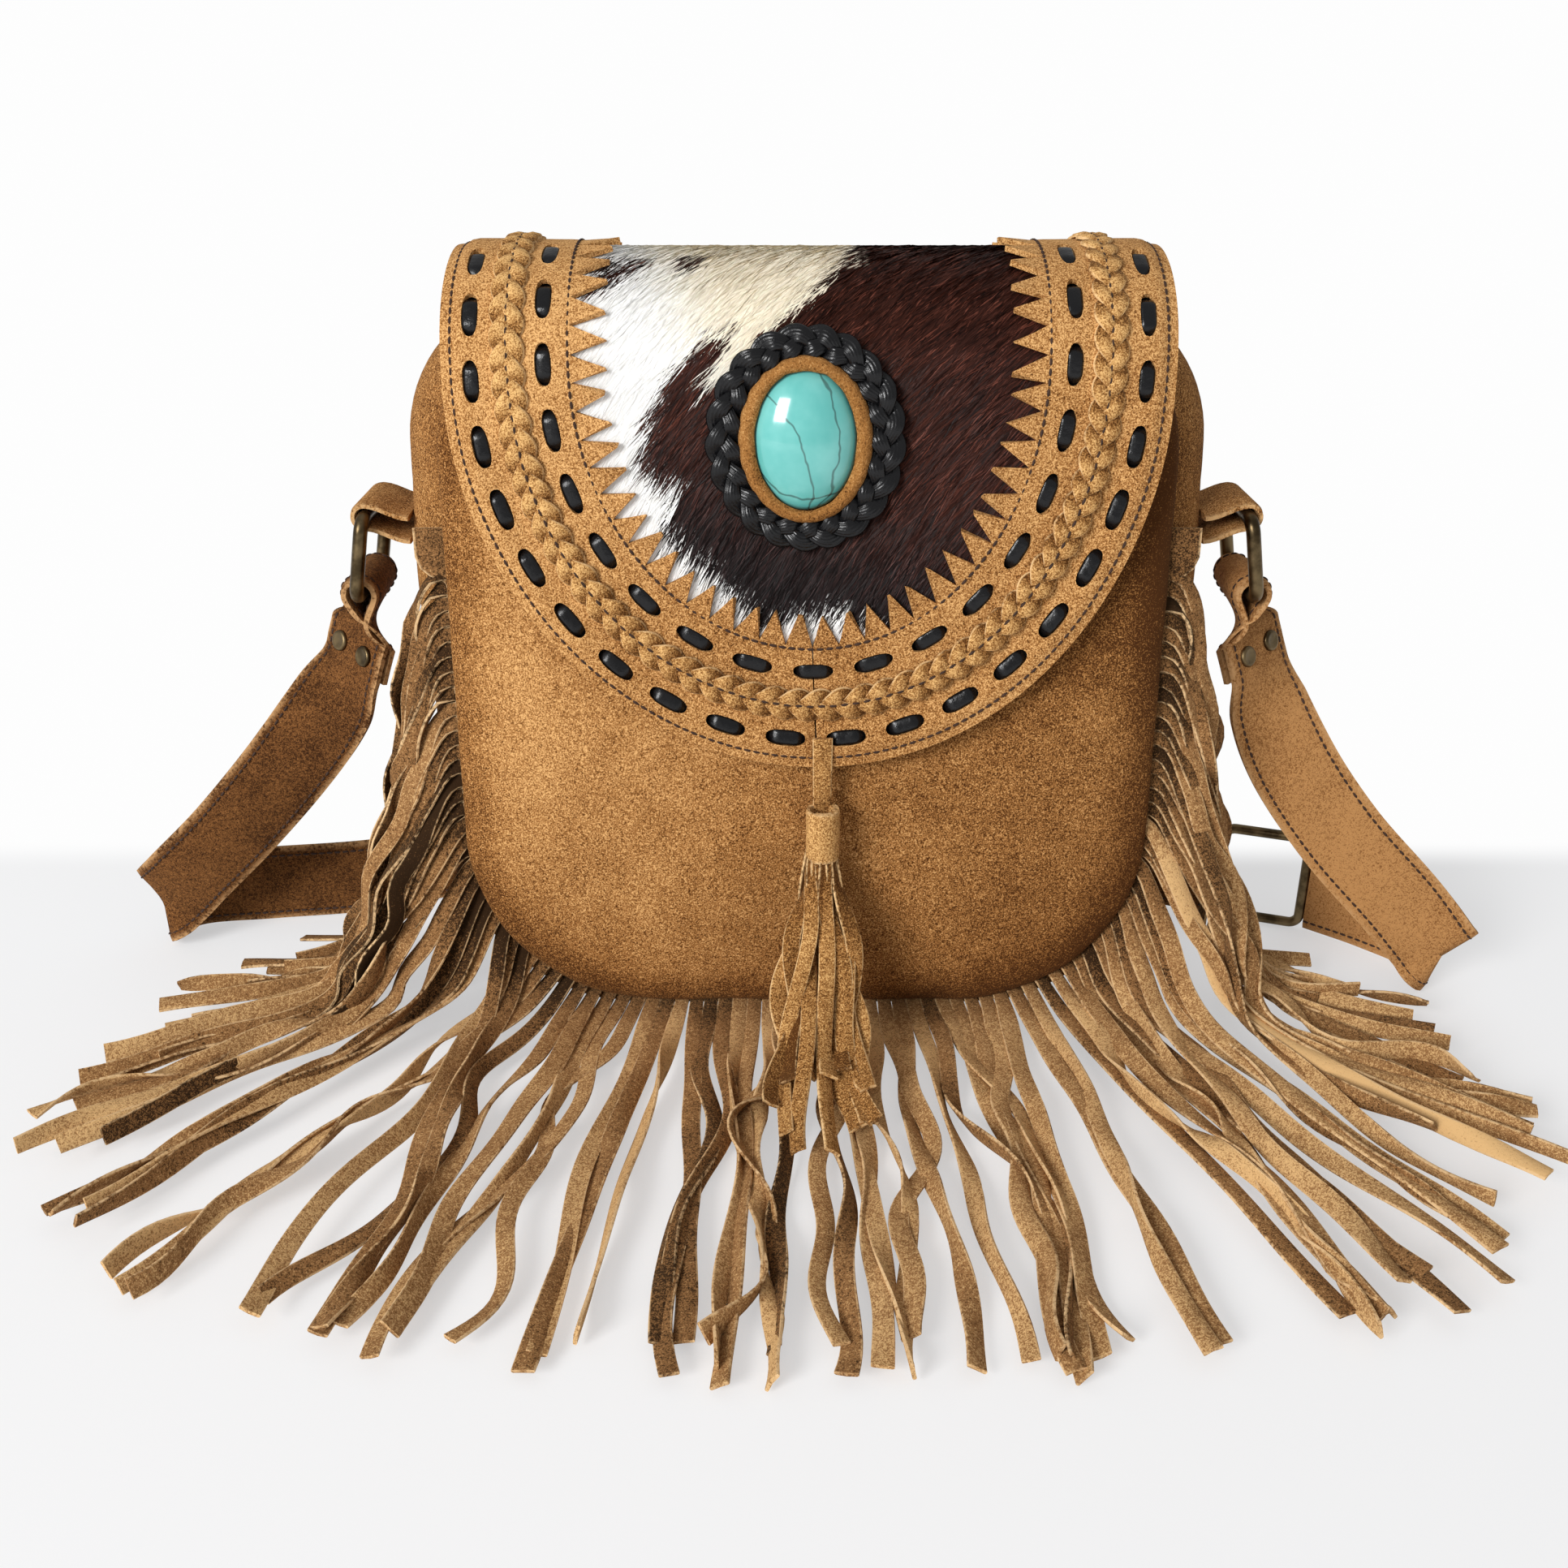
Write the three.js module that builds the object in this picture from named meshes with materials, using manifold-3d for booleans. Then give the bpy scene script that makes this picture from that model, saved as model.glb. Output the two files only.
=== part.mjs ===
// Fringed suede bag: a domed body, a saddle flap with a cowhide panel, fringe, tassel and strap.
// Millimetres, +Z up. The bag faces -Y and its origin is on the ground under the middle of the body.

import * as THREE from 'three';
import { mergeVertices } from 'three/addons/utils/BufferGeometryUtils.js';
import Module from 'manifold-3d';

const wasm = await Module();
wasm.setup();

// Leather and clearances
const SUEDE = 1.6;
const CLEARANCE = 0.3;

// Body
const PANEL_WIDTH = 218;
const PANEL_HEIGHT = 221;
const SEAM_BOTTOM = 5;
const LOW_CORNER_RADIUS = 60;
const HIGH_CORNER_RADIUS = 41;
const BASE_DEPTH = 76;
const TOP_DEPTH = 46;
const DEPTH_CURVE = 1.3;
const FRONT_BULGE = 13;
const BACK_BULGE = 8;
const SIDE_BULGE = 14;
const SHOULDER_BULGE = 3;
const BASE_SHARPNESS = 14;
const MOUTH_LENGTH = 124;

// Flap
const FLAP_WIDTH = 206;
const FLAP_DROP = 115.5;
const FLAP_BELOW_TOP = 14;
const FLAP_SEAT = 0.8;
const ROLL_RISE = 26;
const TIP_SHIFT = 3;
const LINING = 1.4;
const ROOT_STRIP_WIDTH = 198;
const ROOT_STRIP_HEIGHT = 22;

// Border, cowhide, laces and braid: offsets run inwards from the edge of the flap
const BORDER = 1.6;
const BORDER_HEM = 4.5;
const LACE_ROOM = 1.6;
const TOOTH_ROOT = 37;
const TOOTH_TIP = 46.5;
const TOOTH_PITCH = 7.7;
const TOOTH_BASE = 7.4;
const TOOTH_POINT = 0.6;
const TOOTH_BITE = 1.5;
const COWHIDE_INSET = 33;
const COWHIDE = 1.3;
const OUTER_LACE_INSET = 8.8;
const INNER_LACE_INSET = 29.3;
const LACE_PITCH = 18.2;
const OUTER_LACE_COUNT = 22;
const INNER_LACE_COUNT = 19;
const SLOT_LENGTH = 12;
const SLOT_WIDTH = 4.7;
const LACE_WIDTH = 3.4;
const LACE = 0.9;
const LACE_OVER = 0.29;
const LACE_UNDER = 0.5;
const BRAID_INSET = 19.5;
const BRAID_WIDTH = 12;
const BRAID_HEIGHT = 3.6;
const BRAID_LOBE = 8.6;

// Stone and its setting
const STONE_WIDTH = 30;
const STONE_HEIGHT = 40;
const STONE_DOME = 8.5;
const STONE_X = -1;
const STONE_DOWN = 18.5;
const BEZEL_WALL = 3.4;
const BEZEL_LIP = 1.6;
const BEZEL_HEIGHT = 6.4;
const RING_BRAID_WIDTH = 9;
const RING_BRAID_HEIGHT = 5;
const RING_BRAID_LOBES = 22;

// Tassel
const THONG_WIDTH = 6;
const THONG = 1.4;
const THONG_LENGTH = 20;
const THONG_ON_FLAP = 8;
const HEAD_DIAMETER = 9.5;
const HEAD_LENGTH = 16.5;
const TASSEL_STRANDS = 10;
const TASSEL_STRAND_WIDTH = 2.6;
const TASSEL_STRAND = 1.3;
const TASSEL_REACH = 58;
const TASSEL_SPREAD = 26;
const TASSEL_END_HEIGHT = 9;

// Fringe
const FRINGE_STRIP = 1.2;
const FRINGE_SPAN = 484;
const FRINGE_PITCH = 4.8;
const STRAND_WIDTH = 3.9;
const STRAND = 1;
const STRAND_LENGTH = 170;
const STRAND_UNEVEN = 0.07;
const FRINGE_INSIDE = 5;
const FRINGE_FAN_DEG = 82;
const FAN_CURVE = 1.25;
const STRAND_WANDER = 0.06;
const STRAND_BEND = 0.04;
const STRAND_COLUMNS = 3;
const COLUMN_STEP = 5;
const LAYER_STEP = 1.5;
const STACK_STEP = 0.5;
const STACK_DRIFT = 0.6;
const PILE_STEP = 0.15;

// Rings, tabs, rivets and buckle
const RING_HEIGHT = 163;
const RING_INNER_WIDTH = 31;
const RING_INNER_HEIGHT = 21;
const RING_WIRE = 4.4;
const RING_LEAN_DEG = 10;
const TAB_REACH = 13;
const TAB_WIDTH = 28;
const TAB = 2;
const RING_PLAY = 0.4;
const STRAP_WIDTH = 29;
const STRAP = 2.6;
const FOLD_GAP = 0.4;
const STRAP_PLAY = 0.9;
const RIVET_DIAMETER = 7;
const RIVET_SHANK = 2.8;
const RIVET_CAP = 1.2;
const RIVET_SPACING = 13;
const RIVET_GAP = 0.6;
const RIVET_STEP = 3;
const BUCKLE_X = 168;
const BUCKLE_NEAR = 16;
const BUCKLE_FAR = 27;
const BUCKLE_GAP = 16;
const BUCKLE_OPENING = 31;
const BUCKLE_WIRE = 3.6;

// Derived body sizes
const HALF_WIDTH = PANEL_WIDTH / 2;
const CENTRE_HEIGHT = SEAM_BOTTOM + PANEL_HEIGHT / 2;
const FLAT_BASE = HALF_WIDTH - LOW_CORNER_RADIUS;
const LOW_ARC = LOW_CORNER_RADIUS * Math.PI / 2;
const STRAIGHT_SIDE = PANEL_HEIGHT - LOW_CORNER_RADIUS - HIGH_CORNER_RADIUS;
const HIGH_ARC = HIGH_CORNER_RADIUS * Math.PI / 2;
const FLAT_TOP = HALF_WIDTH - HIGH_CORNER_RADIUS;
const SEAM_HALF = FLAT_BASE + LOW_ARC + STRAIGHT_SIDE + HIGH_ARC + FLAT_TOP;
const GUSSET_HALF = SEAM_HALF - MOUTH_LENGTH / 2;
const FRINGE_DEPTH = SUEDE + CLEARANCE;
const FRINGE_ROOM = FRINGE_STRIP + CLEARANCE;

// Derived flap sizes
const FLAP_HALF = FLAP_WIDTH / 2;
const FLAP_SHOULDER = SEAM_BOTTOM + PANEL_HEIGHT - FLAP_BELOW_TOP;
const BACK_SEAT = TOP_DEPTH / 2 + BACK_BULGE + FLAP_SEAT + SUEDE;
const BORDER_FLOOR = LINING + CLEARANCE + LACE_ROOM;
const BORDER_TOP = BORDER_FLOOR + BORDER;
const COWHIDE_TOP = LINING + CLEARANCE + COWHIDE;

// Materials
function paint(color, roughness = 0.9, metalness = 0) {
  return new THREE.MeshStandardMaterial({ color, roughness, metalness });
}

const SUEDE_TAN = 0x9a6733;
const SUEDE_GOLD = 0xb07a3c;
const SUEDE_DARK = 0x7d5028;
const LACE_BLACK = 0x15171a;
const HIDE_CREAM = 0xe9dfce;
const STONE_TURQUOISE = 0x4fbfae;
const BRASS_AGED = 0x7a6544;

const bag = new THREE.Group();

function add(name, geometry, material) {
  const mesh = new THREE.Mesh(geometry, material);
  mesh.name = name;
  bag.add(mesh);
}

// Small maths
const mix = (a, b, t) => a + (b - a) * t;
const clamp01 = (t) => Math.min(1, Math.max(0, t));
const vec = (x, y, z) => new THREE.Vector3(x, y, z);

// A repeatable scatter between 0 and 1
function scatter(index, salt) {
  const wave = Math.sin(index * 12.9898 + salt * 78.233) * 43758.5453;
  return wave - Math.floor(wave);
}

// Keeps only positions, joins shared corners and turns an inside-out body the right way
function closed(geometry) {
  geometry.deleteAttribute('normal');
  geometry.deleteAttribute('uv');
  const merged = mergeVertices(geometry, 1e-4);
  const p = merged.getAttribute('position');
  const index = Array.from(merged.getIndex().array);
  const corner = (k) => vec(p.getX(index[k]), p.getY(index[k]), p.getZ(index[k]));
  const faces = [];
  let volume = 0;
  for (let k = 0; k < index.length; k += 3) {
    const face = [index[k], index[k + 1], index[k + 2]];
    if (face[0] === face[1] || face[1] === face[2] || face[2] === face[0]) {
      continue;
    }
    volume += corner(k).dot(corner(k + 1).cross(corner(k + 2)));
    faces.push(face);
  }
  merged.setIndex(faces.flatMap((f) => (volume < 0 ? [f[0], f[2], f[1]] : f)));
  return merged;
}

// Bends a unit box: u runs along it, v across it and w through its thickness
function bent(stepsU, stepsV, place) {
  const geometry = new THREE.BoxGeometry(1, 1, 1, stepsU, stepsV, 1);
  const p = geometry.getAttribute('position');
  for (let i = 0; i < p.count; i += 1) {
    const [x, y, z] = place(p.getX(i) + 0.5, p.getY(i) + 0.5, p.getZ(i) + 0.5);
    p.setXYZ(i, x, y, z);
  }
  return closed(geometry);
}

// Wraps a torus: u runs round the ring and v round its section
function wrapped(stepsU, stepsV, place) {
  const geometry = new THREE.TorusGeometry(10, 1, stepsV, stepsU);
  const p = geometry.getAttribute('position');
  const uv = geometry.getAttribute('uv');
  for (let i = 0; i < p.count; i += 1) {
    const [x, y, z] = place(uv.getX(i) % 1, uv.getY(i) % 1);
    p.setXYZ(i, x, y, z);
  }
  return closed(geometry);
}

// Joining and cutting of closed bodies
function toSolid(geometry) {
  const vertProperties = new Float32Array(geometry.getAttribute('position').array);
  const triVerts = new Uint32Array(geometry.getIndex().array);
  return new wasm.Manifold(new wasm.Mesh({ numProp: 3, vertProperties, triVerts }));
}

function fromSolid(solid) {
  const mesh = solid.getMesh();
  const geometry = new THREE.BufferGeometry();
  geometry.setAttribute('position', new THREE.BufferAttribute(new Float32Array(mesh.vertProperties), 3));
  geometry.setIndex(Array.from(mesh.triVerts));
  return geometry;
}

function joined(geometries) {
  return geometries.map(toSolid).reduce((whole, piece) => whole.add(piece));
}

function cutAway(geometry, cutters) {
  return fromSolid(cutters.map(toSolid).reduce((rest, cutter) => rest.subtract(cutter), toSolid(geometry)));
}

// A ribbon swept along points, with its width direction given at each point
function ribbonFrame(points, widths) {
  const centre = new THREE.CatmullRomCurve3(points, false, 'centripetal');
  const across = new THREE.CatmullRomCurve3(widths, false, 'centripetal');
  return (u) => {
    const along = centre.getTangent(u);
    const width = across.getPoint(u);
    width.addScaledVector(along, -width.dot(along)).normalize();
    const normal = vec(0, 0, 0).crossVectors(along, width);
    return { point: centre.getPoint(u), along, width, normal };
  };
}

function ribbon(points, widths, width, thickness, steps) {
  const frameAt = ribbonFrame(points, widths);
  return bent(steps, 1, (u, v, w) => {
    const frame = frameAt(u);
    return frame.point
      .addScaledVector(frame.width, (v - 0.5) * width)
      .addScaledVector(frame.normal, (w - 0.5) * thickness)
      .toArray();
  });
}

// Half the depth of the body at a height
function halfDepth(z) {
  const rise = clamp01((z - SEAM_BOTTOM) / PANEL_HEIGHT);
  return mix(BASE_DEPTH, TOP_DEPTH, rise ** DEPTH_CURVE) / 2;
}

// A point of the panel seam, from the bottom centre round to the top centre, moved outwards
function seamAt(along, out = 0) {
  const side = along < 0 ? -1 : 1;
  let run = Math.abs(along);
  let x = Math.min(run, FLAT_BASE);
  let z = SEAM_BOTTOM;
  run = Math.max(0, run - FLAT_BASE);
  const lowTurn = Math.min(run / LOW_CORNER_RADIUS, Math.PI / 2);
  x += LOW_CORNER_RADIUS * Math.sin(lowTurn);
  z += LOW_CORNER_RADIUS * (1 - Math.cos(lowTurn));
  run = Math.max(0, run - LOW_ARC);
  z += Math.min(run, STRAIGHT_SIDE);
  run = Math.max(0, run - STRAIGHT_SIDE);
  const highTurn = Math.min(run / HIGH_CORNER_RADIUS, Math.PI / 2);
  x -= HIGH_CORNER_RADIUS * (1 - Math.cos(highTurn));
  z += HIGH_CORNER_RADIUS * Math.sin(highTurn);
  x -= Math.max(0, run - HIGH_ARC);
  const turn = lowTurn + highTurn;
  const nx = side * Math.sin(turn);
  const nz = -Math.cos(turn);
  return { x: side * x + out * nx, z: z + out * nz, nx, nz };
}

// Where a point on the edge of a square falls along the seam
function squareToSeam(a, b) {
  let share = 0;
  if (Math.abs(b) >= Math.abs(a)) {
    share = b < 0 ? a : Math.sign(a || 1) * 4 - a;
  } else {
    share = Math.sign(a) * (2 + b);
  }
  return share / 4 * SEAM_HALF;
}

// Domed panels
const PANEL_STEPS = 10;
const domeAt = (m) => Math.sqrt(Math.max(0, 1 - m ** 3));

function panel(facing, bulge) {
  return bent(PANEL_STEPS, PANEL_STEPS, (u, v, w) => {
    const a = 2 * u - 1;
    const b = 2 * v - 1;
    const ring = Math.max(Math.abs(a), Math.abs(b));
    const m = Math.sin(ring * Math.PI / 2);
    const rim = seamAt(ring > 0 ? squareToSeam(a / ring, b / ring) : 0);
    const z = mix(CENTRE_HEIGHT, rim.z, m);
    const y = facing * (halfDepth(z) + bulge * domeAt(m) - SUEDE * w);
    return [rim.x * m, y, z];
  });
}

add('front_panel', panel(-1, FRONT_BULGE), paint(SUEDE_TAN));
add('back_panel', panel(1, BACK_BULGE), paint(SUEDE_TAN));

// Gusset: flat under the body, swelling at the sides, open at the mouth
const GUSSET_STEPS = 30;
const GUSSET_ROWS = 6;
const fringeHalf = FRINGE_SPAN / 2;

function gussetOut(seam, across) {
  const sideways = seam.nx ** 2;
  const edge = seam.nz < 0 ? 2 * SEAM_BOTTOM : SHOULDER_BULGE;
  const sharpness = seam.nz < 0 ? mix(BASE_SHARPNESS, 2, sideways) : 2;
  return mix(edge, SIDE_BULGE, sideways) * (1 - Math.abs(across) ** sharpness);
}

const gusset = bent(GUSSET_STEPS, GUSSET_ROWS, (u, v, w) => {
  const along = (2 * u - 1) * GUSSET_HALF;
  const seam = seamAt(along);
  const across = Math.sin((v - 0.5) * Math.PI);
  const spot = seamAt(along, gussetOut(seam, across) - SUEDE * w);
  const fringeThere = clamp01((fringeHalf + 3 * FRINGE_PITCH - Math.abs(along)) / FRINGE_PITCH);
  const front = -halfDepth(seam.z) + FRINGE_DEPTH + FRINGE_ROOM * fringeThere;
  const back = halfDepth(seam.z) - FRINGE_DEPTH;
  return [spot.x, mix(front, back, (across + 1) / 2), Math.max(spot.z, SUEDE * w)];
});
add('gusset', gusset, paint(SUEDE_TAN));

// Fringe: a strip in the front seam, cut into strands that droop, reach the ground and lie on it
const strandCount = Math.floor(FRINGE_SPAN / FRINGE_PITCH);
const FAN = THREE.MathUtils.degToRad(FRINGE_FAN_DEG);

function seamFront(z) {
  return -halfDepth(z) + FRINGE_DEPTH + FRINGE_STRIP / 2;
}

const FRINGE_STRIP_STEPS = 36;
const fringeStrip = bent(FRINGE_STRIP_STEPS, 1, (u, v, w) => {
  const spot = seamAt((u - 0.5) * FRINGE_SPAN, mix(-FRINGE_INSIDE, FRINGE_STRIP, v));
  return [spot.x, seamFront(spot.z) + (w - 0.5) * FRINGE_STRIP, spot.z];
});

function strand(index) {
  const along = (index + 0.5 - strandCount / 2) * FRINGE_PITCH;
  const seam = seamAt(along);
  const side = Math.sign(along);
  const rank = Math.max(0, Math.abs(along) - FLAT_BASE) / FRINGE_PITCH;
  const drop = seam.z - SEAM_BOTTOM;
  const high = clamp01(drop / LOW_CORNER_RADIUS);
  const fan = FAN * Math.sin(Math.PI / 2 * Math.abs(along / fringeHalf) ** FAN_CURVE);
  const wander = fan + (scatter(index, 1) - 0.5) * STRAND_WANDER * (1 - high);
  const aim = vec(side * Math.sin(wander), -Math.cos(wander), 0);
  const flat = vec(-aim.y, aim.x, 0);
  const column = index % STRAND_COLUMNS;
  const ground = FRINGE_STRIP / 2 + CLEARANCE + LAYER_STEP * column + PILE_STEP * rank;
  const length = STRAND_LENGTH * (1 - STRAND_UNEVEN * scatter(index, 2));
  const root = vec(seam.x, seamFront(seam.z), seam.z);
  const lip = seamAt(along, FRINGE_STRIP + STACK_STEP * rank);
  const shoulder = vec(lip.x, root.y + (1 - column) * COLUMN_STEP * high, Math.max(lip.z - 4 * high, ground));
  const hang = shoulder.clone().addScaledVector(aim, mix(8, 0.05 * drop, high));
  hang.y += STACK_DRIFT * rank * high / 2;
  hang.z = mix(shoulder.z, ground, 0.6);
  const foot = shoulder.clone().addScaledVector(aim, mix(20, 4 + 0.15 * drop, high));
  foot.y += STACK_DRIFT * rank * high;
  foot.z = ground;
  const spent = shoulder.distanceTo(root) + hang.distanceTo(shoulder) + foot.distanceTo(hang);
  const rest = Math.max(STRAND_WIDTH * 3, length - spent);
  const bend = (scatter(index, 3) - 0.5) * STRAND_BEND * rest;
  const tip = foot.clone().addScaledVector(aim, rest).addScaledVector(flat, bend);
  const edgeways = vec(-seam.nz, 0, seam.nx);
  const hanging = edgeways.clone().lerp(vec(0, side, 0), high).normalize();
  const points = [root, shoulder, hang, foot, tip];
  return ribbon(points, [edgeways, hanging, hanging, flat, flat], STRAND_WIDTH, STRAND, points.length - 1);
}

const strands = Array.from({ length: strandCount }, (_, index) => strand(index));
add('fringe', fromSolid(joined([fringeStrip, ...strands])), paint(SUEDE_DARK));

// Flap surface: x across, down from the shoulder line (negative over the top), lift off the surface
function flapBase(x, down) {
  const fullness = FRONT_BULGE * (1 - 0.5 * Math.abs(x / HALF_WIDTH) ** 3);
  const front = (z) => halfDepth(z) + fullness + FLAP_SEAT;
  if (down >= 0) {
    const z = FLAP_SHOULDER - down;
    return vec(x, -front(z), z);
  }
  const span = (front(FLAP_SHOULDER) + BACK_SEAT) / 2;
  const turn = Math.PI * -down / rollLength;
  const middle = BACK_SEAT - span;
  return vec(x, middle - span * Math.cos(turn), FLAP_SHOULDER + ROLL_RISE * Math.sin(turn));
}

const rollSpan = (halfDepth(FLAP_SHOULDER) + FRONT_BULGE + FLAP_SEAT + BACK_SEAT) / 2;
const rollLength = Math.PI * Math.sqrt((rollSpan ** 2 + ROLL_RISE ** 2) / 2);

function drape(x, down, lift) {
  const probe = 0.5;
  const acrossFlap = flapBase(x + probe, down).sub(flapBase(x - probe, down));
  const alongFlap = flapBase(x, down + probe).sub(flapBase(x, down - probe));
  const normal = alongFlap.cross(acrossFlap).normalize();
  const shift = TIP_SHIFT * clamp01(down / FLAP_DROP) ** 2;
  const spot = flapBase(x, down).addScaledVector(normal, lift);
  return [spot.x + shift, spot.y, spot.z];
}

// Rows shared by all layers of the flap: over the roll from the back, then down to the tip
const ROLL_STEPS = 14;
const rollStep = rollLength / ROLL_STEPS;
const TIP_ANGLE = 0.94 * Math.PI / 2;

function flapRows(firstStep, frontSteps, lastTurn) {
  const roll = Array.from({ length: ROLL_STEPS - firstStep }, (_, k) => ({
    down: (k + firstStep - ROLL_STEPS) * rollStep + (k + firstStep === 0 ? CLEARANCE : 0),
    turn: 0,
  }));
  const front = Array.from({ length: frontSteps + 1 }, (_, k) => ({
    down: 0,
    turn: k / frontSteps * lastTurn,
  }));
  return [...roll, ...front];
}

// A tongue-shaped layer of the flap, inset from its edge
function tongue(inset, firstStep, floor, thickness, columns, frontSteps) {
  const rows = flapRows(firstStep, frontSteps, TIP_ANGLE);
  return bent(columns, rows.length - 1, (u, v, w) => {
    const row = rows[Math.round(v * (rows.length - 1))];
    const half = (FLAP_HALF - inset) * Math.cos(row.turn);
    const down = row.down + (FLAP_DROP - inset) * Math.sin(row.turn);
    return drape((2 * u - 1) * half, down, floor + w * thickness);
  });
}

add('flap_lining', tongue(0, 0, 0, LINING, 6, 8), paint(SUEDE_DARK));
add('cowhide_panel', tongue(COWHIDE_INSET, 1, LINING + CLEARANCE, COWHIDE, 4, 6), paint(HIDE_CREAM, 0.6));

// Root strip: fills the step between the back panel and the fold of the flap
const flapRoot = bent(8, 1, (u, v, w) => {
  const x = (u - 0.5) * ROOT_STRIP_WIDTH;
  const z = FLAP_SHOULDER - CLEARANCE - (1 - v) * ROOT_STRIP_HEIGHT;
  const m = Math.max(Math.abs(x) / HALF_WIDTH, Math.abs(z - CENTRE_HEIGHT) / (PANEL_HEIGHT / 2));
  const under = halfDepth(z) + BACK_BULGE * domeAt(m ** 2) + CLEARANCE;
  const outer = mix(under + SUEDE, BACK_SEAT + LINING, v);
  return [x, mix(under, Math.max(outer, under + SUEDE), w), z];
});
add('flap_root', flapRoot, paint(SUEDE_TAN));

// Rails: lines at a constant inset from the flap's edge, measured from the tip, plus to the right
const RAIL_STEPS = 120;

function railAt(inset, run) {
  const half = FLAP_HALF - inset;
  const drop = FLAP_DROP - inset;
  let left = Math.abs(run);
  for (let k = 0; k < RAIL_STEPS; k += 1) {
    const turn = Math.PI / 2 * (1 - (k + 0.5) / RAIL_STEPS);
    const step = Math.PI / 2 / RAIL_STEPS * Math.hypot(half * Math.sin(turn), drop * Math.cos(turn));
    if (left < step) {
      return { side: Math.sign(run), turn: turn + Math.PI / 2 / RAIL_STEPS * (0.5 - left / step), down: 0 };
    }
    left -= step;
  }
  return { side: Math.sign(run), turn: 0, down: -left };
}

function onFlap(rail, inset, lift) {
  const x = rail.side * (FLAP_HALF - inset) * Math.cos(rail.turn);
  return drape(x, rail.down + (FLAP_DROP - inset) * Math.sin(rail.turn), lift);
}

function railLength(inset) {
  const half = FLAP_HALF - inset;
  const drop = FLAP_DROP - inset;
  let length = rollLength - rollStep;
  for (let k = 0; k < RAIL_STEPS; k += 1) {
    const turn = Math.PI / 2 * (k + 0.5) / RAIL_STEPS;
    length += Math.PI / 2 / RAIL_STEPS * Math.hypot(half * Math.sin(turn), drop * Math.cos(turn));
  }
  return length;
}

// Laces and their slots
function slotRow(count) {
  return Array.from({ length: count }, (_, k) => (k + 0.5 - count / 2) * LACE_PITCH);
}

const outerSlots = slotRow(OUTER_LACE_COUNT);
const innerSlots = slotRow(INNER_LACE_COUNT);

function slot(inset, run) {
  return bent(2, 1, (u, v, w) => {
    const rail = railAt(inset, run + (u - 0.5) * SLOT_LENGTH);
    const lift = mix(LINING, BORDER_TOP + BORDER, w);
    return onFlap(rail, inset + (v - 0.5) * SLOT_WIDTH, lift);
  });
}

function lace(inset, slots) {
  const under = LINING + CLEARANCE;
  const over = BORDER_TOP - LACE / 2;
  const stations = slots.flatMap((run) => [-LACE_UNDER, -LACE_OVER, LACE_OVER, LACE_UNDER].map((part) => ({
    run: run + part * SLOT_LENGTH,
    lift: Math.abs(part) === LACE_UNDER ? under : over,
  })));
  const steps = stations.length - 1;
  return bent(steps, 1, (u, v, w) => {
    const station = stations[Math.round(u * steps)];
    return onFlap(railAt(inset, station.run), inset + (v - 0.5) * LACE_WIDTH, station.lift + w * LACE);
  });
}

add('outer_lace', lace(OUTER_LACE_INSET, outerSlots), paint(LACE_BLACK, 0.4));
add('inner_lace', lace(INNER_LACE_INSET, innerSlots), paint(LACE_BLACK, 0.4));

// Border halves: hemmed on the edge, raised over the laces, toothed along the cowhide
const toothRail = railLength(TOOTH_ROOT);
const toothCount = Math.floor(toothRail / TOOTH_PITCH);
const BORDER_FRONT_STEPS = 9;

function tooth(side, index) {
  const middle = (index + 0.5) * toothRail / toothCount;
  return bent(1, 1, (u, v, w) => {
    const rail = railAt(TOOTH_ROOT, side * (middle + (u - 0.5) * mix(TOOTH_BASE, TOOTH_POINT, v)));
    const inset = mix(TOOTH_ROOT - TOOTH_BITE, TOOTH_TIP, v);
    return onFlap(rail, inset, BORDER_FLOOR + mix(0.25, 0.75, w) * BORDER);
  });
}

function borderHalf(side) {
  const rows = flapRows(1, BORDER_FRONT_STEPS, Math.PI / 2 - CLEARANCE / FLAP_HALF * 2);
  const sheet = bent(rows.length - 1, 2, (u, v, w) => {
    const row = rows[Math.round(u * (rows.length - 1))];
    const inset = v < 0.25 ? 0 : (v < 0.75 ? BORDER_HEM : TOOTH_ROOT);
    const floor = v < 0.25 ? LINING + CLEARANCE : BORDER_FLOOR;
    return onFlap({ ...row, side }, inset, floor + w * BORDER);
  });
  const teeth = Array.from({ length: toothCount }, (_, index) => tooth(side, index));
  const mine = (run) => run * side > -SLOT_LENGTH;
  const slots = [
    ...outerSlots.filter(mine).map((run) => slot(OUTER_LACE_INSET, run)),
    ...innerSlots.filter(mine).map((run) => slot(INNER_LACE_INSET, run)),
  ];
  return cutAway(fromSolid(joined([sheet, ...teeth])), slots);
}

add('flap_border_left', borderHalf(-1), paint(SUEDE_TAN));
add('flap_border_right', borderHalf(1), paint(SUEDE_TAN));

// Braid: lobes that lean in from the two sides in turn, sewn down along the middle
const braidRail = railLength(BRAID_INSET);
const braidSteps = 4 * Math.floor(braidRail / BRAID_LOBE);

const braid = bent(braidSteps, 2, (u, v, w) => {
  const index = Math.round(u * braidSteps);
  const rail = railAt(BRAID_INSET, (2 * u - 1) * braidRail || CLEARANCE);
  const across = v < 0.25 ? -1 : (v < 0.75 ? 0 : 1);
  const full = (index + (across > 0 ? 1 : 0)) % 2;
  const inset = BRAID_INSET + across * mix(0.38, 0.5, full) * BRAID_WIDTH;
  const height = across === 0 ? 0.55 : mix(0.3, 1, full);
  return onFlap(rail, inset, BORDER_TOP + CLEARANCE + w * height * BRAID_HEIGHT);
});
add('braid_trim', braid, paint(SUEDE_GOLD));

// Stone, bezel and braided ring, set on the cowhide
const SETTING_FLOOR = COWHIDE_TOP + CLEARANCE;

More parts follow.
